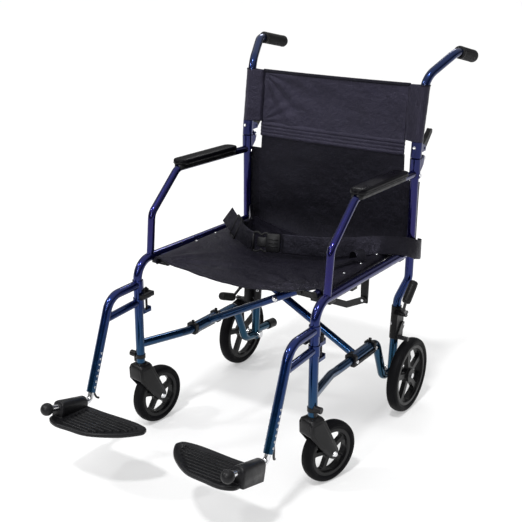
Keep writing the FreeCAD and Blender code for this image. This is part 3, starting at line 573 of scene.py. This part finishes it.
def upper_back():
    """Upper back upholstery: a panel with sewn channels, and a sleeve over each back tube."""
    def place(x, z):
        edge = min(1.0, (PANEL_X - abs(x)) / 20.0, (PANEL_TOP - z) / 12.0)
        crease = back_creases(x, z) * max(0.0, edge) if z > CHANNELS_TOP + 1 else 0.0
        return at(x, panel_y(x, z) - ridges(z) - crease, z + 2.0 * (x / PANEL_X) ** 2 - 2.0)

    across, along = stations(-PANEL_X, PANEL_X, 88), stations(PANEL_LOW, PANEL_TOP, 92)
    cloth = cloth_grid("back_cloth_upper", across, along, place, BACK_CLOTH)
    thickened(cloth, 2.0)
    hem_path = [place(x, PANEL_TOP) for x in stations(-PANEL_X, PANEL_X, 60)]
    hem = piece("back_top_hem", *loft(flat_sweep(hem_path, [UP] * 60, 9.0, 4.6)), SHADED_CLOTH)
    seam = piece("back_top_seam", *stitch_row([p + Vector((0, -0.0014, -0.007)) for p in hem_path]), THREAD)
    channel_rows = [[place(x, z) + Vector((0, -0.0012, 0)) for x in stations(-215, 215, 60)]
                    for z in (691.6, 700, 709, 718, 727.4)]
    rows = joined("back_channel_seams", [stitch_row(path, 4.2, 0.8) for path in channel_rows], THREAD)
    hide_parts("back_panel_upper")
    for made in (cloth, hem, seam, rows):
        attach(made, "back_left")
        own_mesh(made)
    for name, side in SIDES.items():
        back_sleeve(name, side)


def back_sleeve(name, side):
    """Sleeve of the back upholstery round one back tube, closed by a seam inboard of it."""
    seam_x = 213.0
    rings = []
    for z in stations(730, PANEL_TOP + 2, 46):
        x, y = tube_centre(side, z)
        radius = 13.0 + 0.5 * noise.noise(Vector((side * 9, 0, z * 0.05)))
        ring = []
        for a in (math.radians(degrees) for degrees in range(-105, 106, 14)):
            ring.append(at(x + side * radius * math.cos(a), y + radius * math.sin(a), z))
        round_tube = len(ring)
        reach = Vector((side * seam_x - x, panel_y(seam_x, z) - y))
        for share, face in ((0.45, 1), (0.72, 1), (1.0, -1), (0.72, -1), (0.45, -1)):
            puff = face * (6.5 * (1 - share) + 1.3)
            crease = 1.4 * noise.noise(Vector((share * 2.2, face * 4, z * 0.045)))
            ring.append(at(x + reach.x * share, y + reach.y * share + puff + crease, z))
        rings.append(ring)
    sleeve = piece("back_sleeve_" + name, *loft(rings, capped=False), BACK_CLOTH)
    thickened(sleeve, 1.4)
    hem = piece("back_sleeve_hem_" + name, *loft(round_sweep(rings[-1][:round_tube], 1.8, 8)), SHADED_CLOTH)
    seam_path = [at(side * 216, panel_y(216, z) - 3.4, z) for z in stations(733, PANEL_TOP - 2, 30)]
    seam = piece("back_sleeve_seam_" + name, *stitch_row(seam_path), THREAD)
    for made in (sleeve, hem, seam):
        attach(made, "back_" + name)


def lower_back():
    """Lower back upholstery: a dark panel with a wing behind each rear post, higher on the right one."""
    def top(x):
        if abs(x) < PANEL_X:
            return LOWER_TOP
        return 627.0 if x > 0 else 655.0

    def place(x, share):
        z = LOWER_LOW + (top(x) - LOWER_LOW) * share
        belly = 7.0 * (1 - (x / LOWER_X) ** 2) * math.sin(math.pi * share)
        crease = 1.8 * noise.fractal(Vector((x * 0.5, z, 9)) * 0.016, 0.9, 2.1, 4)
        crease *= (1 - (x / LOWER_X) ** 4) * (1 - share ** 6)
        return at(x, 271.6 + belly + crease + 2.4 * share ** 8, z)

    across = stations(-LOWER_X, -218, 9) + stations(-216, 216, 72) + stations(218, LOWER_X, 9)
    cloth = cloth_grid("back_cloth_lower", across, stations(0, 1, 70), place, SHADED_CLOTH)
    thickened(cloth, 1.8)
    rows = [stitch_row([place(x, share) + Vector((0, -0.0014, 0)) for share in stations(0.03, 0.97, 40)])
            for x in (-222, 222)]
    seams = joined("back_lower_seams", rows, THREAD)
    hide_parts("back_panel_lower")
    for made in (cloth, seams):
        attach(made, "left_frame")
        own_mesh(made)


# Belt

def strap(name, centres, leans, height, body):
    """Webbing strap on edge along a path, and its edge stitching; leans tip its top along X and Y."""
    path = smoothed([at(*centre) for centre in centres], 7)
    tips = smoothed([Vector((*lean, 1)) for lean in leans], 7)
    made = piece(name, *loft(flat_sweep(path, tips, height, 2.4)), WEBBING)
    rows = []
    for share in (-0.44, 0.44):
        row = []
        for point, ahead, tip in zip(path, directions(path), tips):
            wide = (tip - ahead * tip.dot(ahead)).normalized()
            front = wide.cross(ahead)
            front = front if front.y < 0 else -front
            row.append(point + (wide * (share * height) + front * 1.4) / 1000)
        rows.append(stitch_row(row, 5.0))
    edges = joined(name + "_edges", rows, THREAD)
    for item in (made, edges):
        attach(item, body)
    return made, edges


def local_spot(centre, along, up):
    """A function that gives points in millimetres along two unit directions and out of their plane."""
    out = along.cross(up)
    return lambda u, v, w=0.0: centre + (along * u + up * v + out * w) / 1000


def slab(outline, thickness, spot):
    """Vertices and faces of a plate with softened edges: its outline is in the plane of spot."""
    middle = Vector((sum(p[0] for p in outline), sum(p[1] for p in outline))) / len(outline)
    rings = []
    for depth, inset in ((-0.5, 1.4), (-0.42, 0.5), (-0.3, 0.0), (0.3, 0.0), (0.42, 0.5), (0.5, 1.4)):
        ring = []
        for u, v in outline:
            away = Vector((u, v)) - middle
            edge = middle + away * (1 - inset / max(away.length, 1.5))
            ring.append(spot(edge.x, edge.y, depth * thickness))
        rings.append(ring)
    return loft(rings)


def rounded_box(half_u, half_v, radius, shift):
    """Outline of a rectangle with rounded corners."""
    outline = []
    for corner, (su, sv) in enumerate(((1, 1), (-1, 1), (-1, -1), (1, -1))):
        for step in range(6):
            a = math.radians(corner * 90 + step * 18)
            outline.append((shift[0] + su * (half_u - radius) + radius * math.cos(a),
                            shift[1] + sv * (half_v - radius) + radius * math.sin(a)))
    return outline


BELT_HEIGHT, SHORT_HEIGHT = 50.0, 48.0      # width of the webbing, which stands on edge
BUCKLE = (-50.0, 44.0, 471.0)


def long_strap():
    """Long strap of the lap belt, from the left post across the seat to the buckle."""
    centres = [(-10, 56, 471), (50, 72, 472), (110, 95, 473), (165, 124, 477), (206, 150, 482),
               (238, 176, 481), (262, 205, 475), (277, 232, 463), (281, 256, 456), (275, 276, 452),
               (263, 284, 450)]
    leans = [(-0.05, 0.16), (-0.05, 0.16), (-0.05, 0.2), (-0.1, 0.35), (-0.3, 0.6), (-0.5, 0.7),
             (-0.5, 0.45), (-0.3, 0.1), (-0.1, 0), (0, 0.04), (0, 0.05)]
    made, rows = strap("belt_long", centres, leans, BELT_HEIGHT, "left_frame")
    tacks = joined("belt_long_tacks", [stitch_row([at(x, y - 1.6, 472 - 20), at(x, y + 6, 472 + 20)], 4.2)
                                       for x, y in ((-2, 54), (4, 55.6))], THREAD)
    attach(tacks, "left_frame")
    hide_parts("belt_strap")
    for item in (made, rows, tacks):
        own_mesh(item)
    return made, [rows, tacks]


def short_side():
    """Right side of the lap belt: the buckle, a free end, the adjuster and a strap to the right post."""
    centres = [(-86, 34, 472), (-104, 39, 475), (-126, 45, 482), (-150, 54, 493), (-172, 63, 505),
               (-190, 72, 516)]
    leans = [(-0.02, 0.12), (0, 0.12), (0.2, 0.12), (0.4, 0.16), (0.5, 0.2), (0.55, 0.2)]
    tail, tail_rows = strap("belt_short", centres, leans, SHORT_HEIGHT, "right_frame")
    centres = [(-146, 57, 487), (-140, 84, 478), (-156, 128, 477), (-192, 178, 480), (-219, 218, 476),
               (-235, 246, 470), (-239, 262, 466)]
    leans = [(0.3, 0.2), (0.1, 0.1), (0, 0.1), (0, 0.1), (0, 0.06), (0, 0), (0, 0)]
    anchor, anchor_rows = strap("belt_anchor", centres, leans, SHORT_HEIGHT, "right_frame")
    for made in (tail, tail_rows, anchor, anchor_rows, buckle(), adjuster()):
        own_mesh(made)
    return tail, tail_rows, anchor, anchor_rows


def belt():
    """Lap belt: its long and short sides, and the keeper loop on the seat."""
    strap_left, sewn = long_strap()
    tail, tail_rows, anchor, anchor_rows = short_side()
    keeper_loop()
    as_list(sewn)


def buckle():
    """Side-release buckle, closed: strap bar, two prongs with a wavy top edge, and the socket."""
    along = Vector((0.962, 0.26, 0.01)).normalized()
    up = Vector((-0.03, 0.15, 1)).normalized()
    out = along.cross(up)
    spot = local_spot(at(*BUCKLE), along, up)
    parts = [slab(rounded_box(19, 24, 6, (20, 0)), 11, spot),
             slab(rounded_box(13, 13, 5, (-10, 0)), 7, spot),
             upright_bar([spot(-34, -25), spot(-35, 0), spot(-34, 25)], 3.4)]
    for side in (1, -1):
        arm = smoothed([spot(-34, side * 23.5), spot(-22, side * 25, 1), spot(-12, side * 19, 1.5),
                        spot(-3, side * 24, 1), spot(6, side * 22.5)], 5)
        parts.append(loft(flat_sweep(arm, [out] * len(arm), 7.5, 4.6)))
    for v in (-9, 0, 9):
        parts.append(loft(flat_sweep([spot(8, v, 5.6), spot(33, v, 5.6)], [up, up], 2.2, 1.4)))
    made = joined("belt_buckle_body", parts, PLASTIC)
    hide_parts("belt_buckle")
    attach(made, "right_frame")
    return made


def adjuster():
    """Three-bar slide on the short strap."""
    along = Vector((-0.84, 0.33, 0.43)).normalized()
    up = Vector((0.4, 0.16, 1)).normalized()
    spot = local_spot(at(-150, 52, 493), along, up)
    parts = [upright_bar([spot(u, v, lift) for v in (-28, 0, 28)], 2.2)
             for u, lift in ((-10, 1.6), (0, 3.2), (10, 1.6))]
    parts += [loft(flat_sweep([spot(u, v, 2) for u in (-11.5, 0, 11.5)], [up] * 3, 4.2, 4.0))
              for v in (-28, 28)]
    made = joined("belt_adjuster", parts, PLASTIC)
    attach(made, "right_frame")
    return made


def keeper_loop():
    """Small webbing loop on the left side of the seat, with its short tail."""
    loop = ((217, 60, 466), (214, 62, 482), (204, 68, 490), (190, 74, 484), (184, 76, 466))
    tail = ((196, 70, 464), (178, 44, 462), (160, 10, 459))
    parts = []
    for centres, across, width in ((loop, (0.45, 0.9, 0.1), 26), (tail, (1, -0.3, 0.15), 22)):
        path = smoothed([at(*centre) for centre in centres], 6)
        parts.append(loft(flat_sweep(path, [Vector(across)] * len(path), width, 2.2)))
    made = joined("belt_keeper", parts, WEBBING)
    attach(made, "left_frame")
    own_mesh(made)


# Pads, grips and tyres

PAD_LOW, PAD_HIGH, PAD_TOP = -57.0, 190.0, 678.0    # Y of its two ends, and Z of its crown at the middle
PAD_HALF, PAD_CORNER = 20.9, 19.0


def pad_half(y, half, corner):
    """Half width of the arm pad at y, with its corners rounded in plan."""
    near = min(y - PAD_LOW, PAD_HIGH - y)
    if near >= corner:
        return half
    return half - corner + math.sqrt(max(corner ** 2 - (corner - near) ** 2, 0.0))


def arm_pad(name, side):
    """Arm pad: a crowned cushion with a welt, over a narrower base that straddles the arm tube."""
    middle = (PAD_LOW + PAD_HIGH) / 2
    slope = math.tan(math.radians(1))

    def pad_point(x, y, z):
        return at(side * SIDE_X + x, y, PAD_TOP + z + (middle - y) * slope)

    ends = [PAD_LOW + d for d in (0.15, 1, 3, 6, 10, 15)]
    lengths = ends + stations(PAD_LOW + 21, PAD_HIGH - 21, 24)
    lengths += [PAD_LOW + PAD_HIGH - y for y in ends[::-1]]
    section = mirrored([(0, -0.05), (0.3, -0.2), (0.62, -0.6), (0.86, -1.5), (0.97, -3.6), (1.0, -7.5),
                        (0.97, -12.5), (0.88, -14.6), (0.66, -15), (0.5, -13.2)])[:-1]
    rings, base_rings = [], []
    for y in lengths:
        half = pad_half(y, PAD_HALF, PAD_CORNER)
        low = 5.0 * math.exp(-min(y - PAD_LOW, PAD_HIGH - y) / 4.0)
        dent = 0.5 * noise.noise(Vector((side * 3, y * 0.02, 1)))
        crown = [v - (low if v > -7 else 0) + (dent if abs(u) < 0.7 and v > -2 else 0) for u, v in section]
        rings.append([pad_point(u * half, y, z) for (u, v), z in zip(section, crown)])
        half = pad_half(y, 14.0, 12.0)
        wall = min(9.8, half * 0.7)
        base_rings.append([pad_point(x, y, z) for x, z in mirrored(
            [(half, -13), (half, -25), (half - 0.8, -26), (wall, -26), (wall, -14.4)])])
    cushion = piece("arm_pad_cushion_" + name, *loft(rings), PAD_SKIN)
    base = piece("arm_pad_base_" + name, *loft(base_rings), PLASTIC)
    edge = [(pad_half(y, PAD_HALF, PAD_CORNER) + 0.1, y) for y in lengths]
    loop = [pad_point(x, y, -11.2) for x, y in mirrored(edge)]
    welt = piece("arm_pad_welt_" + name, *loft(round_sweep(loop + loop[:1], 0.9, 8), capped=False), PLASTIC)
    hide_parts("arm_pad_" + name)
    for made in (cushion, base, welt):
        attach(made, name + "_frame")


def ribs(start, length, count, valley, crest, rise):
    """Profile of equal ribs along a grip; rise is the share of a rib that its first slope takes."""
    pitch = length / count
    profile = []
    for low in (start + pitch * index for index in range(count)):
        profile += [(low, valley), (low + pitch * rise, crest), (low + pitch * 0.6, crest),
                    (low + pitch * 0.85, valley)]
    return profile


def hand_grip(name, side):
    """Push grip: fine ribs between two plain collars, rounded at the end."""
    start, end = at(side * 294, 380, 943), at(side * 290, 497, 920)
    length = (end - start).length * 1000
    profile = [(16.2, 11.2), (16.2, 15.2), (17, 16.2), (22, 16.3), (23, 15.4)]
    profile += ribs(24, length - 38, 24, 14.6, 16.0, 0.25)
    profile += [(length - 12, 15.4), (length - 10, 16.3), (length - 4, 16.3), (length - 0.5, 14.5),
                (length + 0.9, 11), (length + 0.9, 6.5), (length - 3, 5.5), (length - 3, 0.1)]
    made = piece("push_grip_" + name, *loft(lathe(profile, start, end - start, 48)), GRIP_RUBBER)
    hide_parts("grip_" + name)
    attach(made, "back_" + name)


def brake_grip(name, side, forward):
    """Ribbed sleeve over the brake lever's handle; forward is how far the lever is turned, in degrees."""
    pivot = Vector((side * 277, 245, 277))
    turn = Matrix.Rotation(math.radians(forward), 3, "X")
    low, high = [pivot + turn @ (Vector((side * 277, y, z)) - pivot) for y, z in ((200, 328), (243, 370))]
    length = (high - low).length
    profile = [(-0.6, 4.5), (-0.6, 8.5), (1.0, 10.9), (2.5, 11.3)]
    profile += ribs(5, length - 12, 12, 11.0, 11.9, 0.3)
    profile += [(length - 4, 11.4), (length - 1, 11.2), (length + 0.8, 9.2), (length + 0.8, 5.6),
                (length - 3, 4.9), (length - 3, 0.1)]
    made = piece("brake_grip_" + name, *loft(lathe(profile, at(*low), high - low, 40)), GRIP_RUBBER)
    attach(made, "brake_" + name)


def tyre(node, body, centre, axis, radius, half, depth):
    """Solid tyre: a crowned tread with two moulding lines, ridged shoulders and a bead at the rim."""
    seat = radius - depth
    shoulder = [(0.97, 0.30), (0.995, 0.42), (0.985, 0.50), (0.96, 0.52), (0.955, 0.60), (0.90, 0.72),
                (0.82, 0.80), (0.74, 0.865), (0.70, 0.85), (0.66, 0.90), (0.45, 0.95)]
    side = [(half * 0.80, seat + 0.1), (half * 0.84, seat + 1.5)]
    side += [(half * across, seat + depth * up) for across, up in shoulder]
    side += [(half * 0.2, radius - 0.15), (0, radius - 0.02)]
    profile = side + [(-x, r) for x, r in side[-2::-1]]
    made = piece(node + "_skin", *loft(lathe(profile + profile[:1], centre, axis, 96), capped=False), TYRE)
    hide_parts(node)
    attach(made, body)


# Screws, plugs, holes and clips

def screw_head(place, axis, radius):
    """Pan head with a hex recess, standing on the surface at place."""
    profile = [(-1.0, radius * 0.7), (0, radius), (radius * 0.18, radius), (radius * 0.46, radius * 0.8),
               (radius * 0.56, radius * 0.5), (radius * 0.2, radius * 0.42), (radius * 0.15, 0.05)]
    return loft(lathe(profile, place, axis, 24))


def hanger_leg(side, share):
    """A point on the centre of the hanger's sloping leg, from its bend (0) to its foot (1)."""
    return at(side * SIDE_X, -326 - 81 * share, 394 - 217 * share)


def trim(name, side):
    """Small fastenings of one side, each set on the body it is fixed to."""
    post_screws = [screw_head(at(side * x, y, z), axis, radius) for x, y, z, axis, radius in (
        (SIDE_X, 244.6, 646, (0, -1, 0), 4.2), (215.0, 251.8, 238, (-0.6 * side, -0.8, 0), 4.6),
        (226.0, 249.4, 268, (0.3 * side, -0.95, 0), 4.0), (226.0, 249.4, 214, (0.3 * side, -0.95, 0), 4.0))]
    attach(joined("frame_screws_" + name, post_screws, CHROME), name + "_frame")
    hinge_screw = screw_head(at(side * SIDE_X, 245.6, 718), (0, -1, 0), 4.2)
    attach(joined("hinge_screws_" + name, [hinge_screw], CHROME), "back_" + name)
    rail_body = "front_brace" if side == 1 else "rear_brace"
    heads = [screw_head(at(side * 218, y, 463.2), UP, 3.6) for y in (-29, 55, 139, 222)]
    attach(joined("rail_screws_" + name, heads, CHROME), rail_body)
    plug = [(-8, 7.2), (-0.2, 7.2), (-0.2, 9.0), (1.6, 8.6), (2.6, 6.5), (2.9, 0.1)]
    ends = [loft(lathe(plug, at(side * RAIL_X, y, RAIL_Z), (0, toward, 0), 32))
            for y, toward in ((-168, -1), (236, 1))]
    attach(joined("rail_plugs_" + name, ends, PLASTIC), rail_body)
    rim = [(-0.6, 2.9), (0.3, 2.9), (0.45, 2.4), (0.1, 1.9), (0.1, 0.05)]
    holes = [loft(lathe(rim, hanger_leg(side, share) + Vector((face * 0.0109, -0.001, 0)), (face, 0, 0), 20))
             for share in (0.58, 0.64, 0.70, 0.76, 0.82, 0.88, 0.94) for face in (-1, 1)]
    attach(joined("height_holes_" + name, holes, CHROME), "hanger_" + name)
    clip = ((258, -395, 206), (259, -393, 190), (259, -392, 176), (258, -391, 164), (256, -387, 154),
            (254, -381, 150))
    wire = smoothed([at(side * x, y, z) for x, y, z in clip], 6)
    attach(piece("spring_clip_" + name, *loft(round_sweep(wire, 2.8, 10)), BLACK_STEEL), "hanger_" + name)


CASTER_YAW = {"left": -17.8, "right": -6.9}     # degrees; each caster stands at its own angle
CASTER_Y, CASTER_TRAIL, CASTER_RADIUS = -223.0, 53.0, 76.2
REAR_RADIUS = 101.6


def caster_fork(name, side):
    """Moulded fork: a rounded crown with a ridged collar, and two legs with raised panels."""
    turn = Matrix.Rotation(math.radians(CASTER_YAW[name]), 3, "Z")
    stem, rearward = at(side * SIDE_X, CASTER_Y, 0), turn @ REAR
    spot = local_spot(stem, turn @ Vector((1, 0, 0)), rearward)
    leg = [(-21, 170), (-15, 178), (15, 178), (24, 168), (44, 128), (63, 90), (66.5, 78), (61, 67), (51, 63),
           (42, 68), (24, 87), (6, 107), (-20, 141)]
    panel = [(-15, 168), (10, 171), (19, 160), (38, 124), (56, 88), (58, 79), (53, 72), (46, 76), (8, 114),
             (-14, 146)]
    parts = [slab(outline, thickness, local_spot(spot(face * x, 0), rearward, UP))
             for face in (-1, 1) for outline, thickness, x in ((leg, 5.4, 19.4), (panel, 1.8, 22.4))]
    crown = []
    for z, half, front, rear, radius in (       # sections of the crown, from its foot upwards
            (141, 19, -20, -12, 3), (144, 21.5, -20.8, -6, 5), (152, 21.9, -21, 5, 7),
            (160, 21.9, -21, 19, 8), (166, 21.9, -21, 24, 8), (175, 21.4, -20.6, 23, 9),
            (179.5, 19, -18, 20, 10), (181.4, 15, -14, 15, 10)):
        deep = (rear - front) / 2
        outline = rounded_box(half, deep, min(radius, deep - 0.5), (0, (rear + front) / 2))
        crown.append([spot(x, y, z) for x, y in outline])
    parts.append(loft(crown))
    collar = [(178, 13), (180.6, 15.2), (181.6, 14.4), (182.2, 15.2), (182.8, 14.4), (183.4, 14.8),
              (183.7, 6.2), (192, 6)]
    parts.append(loft(lathe(collar, stem, UP, 40)))
    made = joined("caster_fork_shell_" + name, parts, WHEEL_PLASTIC)
    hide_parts("caster_fork_" + name)
    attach(made, "caster_" + name)


def wheel_tyres():
    """Tyres on the casters, which stand at their own angles, and on the rear wheels."""
    for name, side in SIDES.items():
        yaw = math.radians(CASTER_YAW[name])
        axis = (math.cos(yaw), math.sin(yaw), 0)
        centre = at(side * SIDE_X - CASTER_TRAIL * axis[1], CASTER_Y + CASTER_TRAIL * axis[0], CASTER_RADIUS)
        tyre("caster_tyre_" + name, "front_wheel_" + name, centre, axis, CASTER_RADIUS, 15, 17)
        centre = at(side * 269, 252.2, REAR_RADIUS)
        tyre("rear_tyre_" + name, "rear_wheel_" + name, centre, (1, 0, 0), REAR_RADIUS, 15, 19)


FOOT_X, TREAD_REAR = 252.0, -440.0      # the footplate's hinge line, and its tread's rear edge
FOOT_TILT = math.radians(15)            # rise of the hinge rod and of the hood over it
TREAD_RISE = math.sin(math.radians(4.7))


def foot_axis(side, x, ahead, rise):
    """A point in the frame of the footplate's sloping hinge axis, ahead of the rod's corner."""
    return at(side * (FOOT_X + x), -415 - ahead * math.cos(FOOT_TILT) + rise * math.sin(FOOT_TILT),
              157 + ahead * math.sin(FOOT_TILT) + rise * math.cos(FOOT_TILT))


def tread_point(side, x, y, z):
    """A point at height z over the footplate's sloping tread; x is measured from its hinge line."""
    return at(side * (FOOT_X + x), y, 158 + z + (TREAD_REAR - y) * TREAD_RISE)


def tread(side):
    """Meshes of the footplate's tread: a plate with a rolled edge, and its ribs."""
    corners = [Vector((*c, 0)) for c in (
        (12, -441), (-70, -437), (-150, -434), (-192, -439), (-204, -450), (-203, -468), (-172, -509),
        (-114, -547), (-60, -553.5), (-22, -555), (4, -544), (12, -526), (13, -480))]
    outline = smoothed(corners[-2:] + corners + corners[:2], 6)[12:-12]
    middle = Vector((-80, -490, 0))
    rings = []
    for inset, z in ((5, -10), (1.6, -9.6), (0, -7.5), (0, -2.5), (1.2, -0.6), (3.5, 0), (6.5, -0.2),
                     (9, -1.6)):
        rings.append([tread_point(side, *(p + (middle - p).normalized() * inset).xy, z) for p in outline])
    parts = [loft(rings)]
    for index in range(8):
        y = TREAD_REAR - 17 - 11.5 * index
        left = -182 + 2.4 * index + max(0, index - 2) * 10.5
        rib = [tread_point(side, x, y, -0.7) for x in stations(left, -26, 12)]
        parts.append(loft(flat_sweep(rib, [REAR] * 12, 5.0, 2.6)))
    return parts


def hood(side):
    """Mesh of the footplate's rounded hood over the hinge rod."""
    arch = (math.radians(degrees) for degrees in range(170, -1, -17))
    section = [(-16.3, -31), (-16.3, -8), (-15.8, 1)]
    section += [(16 * math.cos(a) + 0.4, 3 + 12.6 * math.sin(a)) for a in arch]
    section += [(17.0, -8), (17.2, -31)]
    sizes = ((22, 0.86), (22.4, 0.95), (24.5, 1.0), (100, 1.0), (104.5, 0.97), (106, 0.88))
    return loft([[foot_axis(side, 0.4 + (x - 0.4) * grow, ahead, -8 + (z + 8) * grow) for x, z in section]
                 for ahead, grow in sizes])


def footplate(name, side):
    """Moulded footplate: ribbed tread, hood over the hinge rod, and round knob at the rod's end."""
    arch = [math.radians(degrees) for degrees in range(-54, 86, 9)]
    knob = [(-13, 7.8)] + [(15 * math.sin(a), 15 * math.cos(a)) for a in arch] + [(15, 0.05)]
    ahead = (0, -math.cos(FOOT_TILT), math.sin(FOOT_TILT))
    parts = tread(side) + [hood(side), loft(lathe(knob, foot_axis(side, 0, 142, 0), ahead, 36))]
    made = joined("footplate_shell_" + name, parts, PLASTIC)
    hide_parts("footplate_" + name)
    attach(made, "plate_" + name)


# Stage, lights and camera

def studio_floor():
    """Pale floor that reaches far past the view, with a faint glow that lightens shadows."""
    s = Shader("studio_floor")
    s.link(s.ramp(s.noise(3.0, 4.0), [(0.3, 0.60), (0.7, 0.62)]), "Base Color")
    s.set(Roughness=0.8, Specular_IOR_Level=0.1, Emission_Color=WHITE, Emission_Strength=0.34)
    s.bump([(s.noise(90.0), 0.03, 0.001)])
    corners = [(x * 90.0, y * 90.0, 0) for x, y in ((-1, -1), (1, -1), (1, 1), (-1, 1))]
    piece("studio_floor", corners, [(0, 1, 2, 3)], s.owner)


def studio_world():
    """White where the camera sees it; to the chair it is bright overhead and dim near the horizon."""
    s = Shader("studio", "worlds", "Background")
    height = s.node("SeparateXYZ", {"Vector": s.coordinates["Generated"]}).outputs["Z"]
    seen = s.node("LightPath").outputs["Is Camera Ray"]
    s.link(s.mix(seen, s.ramp(height, [(0.22, 0.10), (0.80, 1.0)]), WHITE), "Color")
    s.set(Strength=1.0)
    bpy.context.scene.world = s.owner


def light(name, kind, place, target, **settings):
    """A light at a place, aimed at a target."""
    made = bpy.data.objects.new(name, bpy.data.lights.new(name, kind))
    for setting, value in settings.items():
        setattr(made.data, setting, value)
    made.location = place
    made.rotation_euler = (Vector(target) - Vector(place)).to_track_quat("-Z", "Y").to_euler()
    bpy.context.collection.objects.link(made)


def lights():
    """A broad sun for the soft shadows, and three rectangles of light for glints on the tubes."""
    light("ceiling", "SUN", (0, 0, 0), (-0.07, 0.51, -1), energy=1.35, angle=math.radians(5))
    for name, place, target, size, power in (
            ("key", (-2.0, -1.6, 2.6), (0.0, 0.0, 0.45), (0.24, 0.24), 24.0),
            ("strip", (0.3, -3.0, 2.0), (0.0, 0.0, 0.5), (0.10, 1.7), 26.0),
            ("rim", (-0.8, 2.0, 2.4), (0.0, 0.1, 0.5), (0.8, 0.3), 10.0)):
        light(name, "AREA", place, target, shape="RECTANGLE", size=size[0], size_y=size[1], energy=power)


def camera():
    """Camera at the angle of a catalogue picture: from the front and the occupant's left, above."""
    azimuth, elevation, roll = (math.radians(x) for x in (33.472, 19.155, 0.341))
    turn = Matrix.Rotation(azimuth, 4, "Z") @ Matrix.Rotation(math.pi / 2 - elevation, 4, "X")
    eye = bpy.data.objects.new("camera", bpy.data.cameras.new("camera"))
    eye.data.lens = 65.92
    eye.matrix_world = Matrix.Translation((1.2228, -1.8706, 1.2283)) @ turn @ Matrix.Rotation(roll, 4, "Z")
    bpy.context.collection.objects.link(eye)
    bpy.context.scene.camera = eye
    bpy.context.scene.view_settings.view_transform = "Standard"


finish_cad_nodes()
seat_cloth()
upper_back()
lower_back()
belt()
for side_name, side_sign in SIDES.items():
    arm_pad(side_name, side_sign)
    hand_grip(side_name, side_sign)
    brake_grip(side_name, side_sign, 0 if side_sign == 1 else 115)
    trim(side_name, side_sign)
    footplate(side_name, side_sign)
    caster_fork(side_name, side_sign)
wheel_tyres()
studio_floor()
studio_world()
lights()
camera()
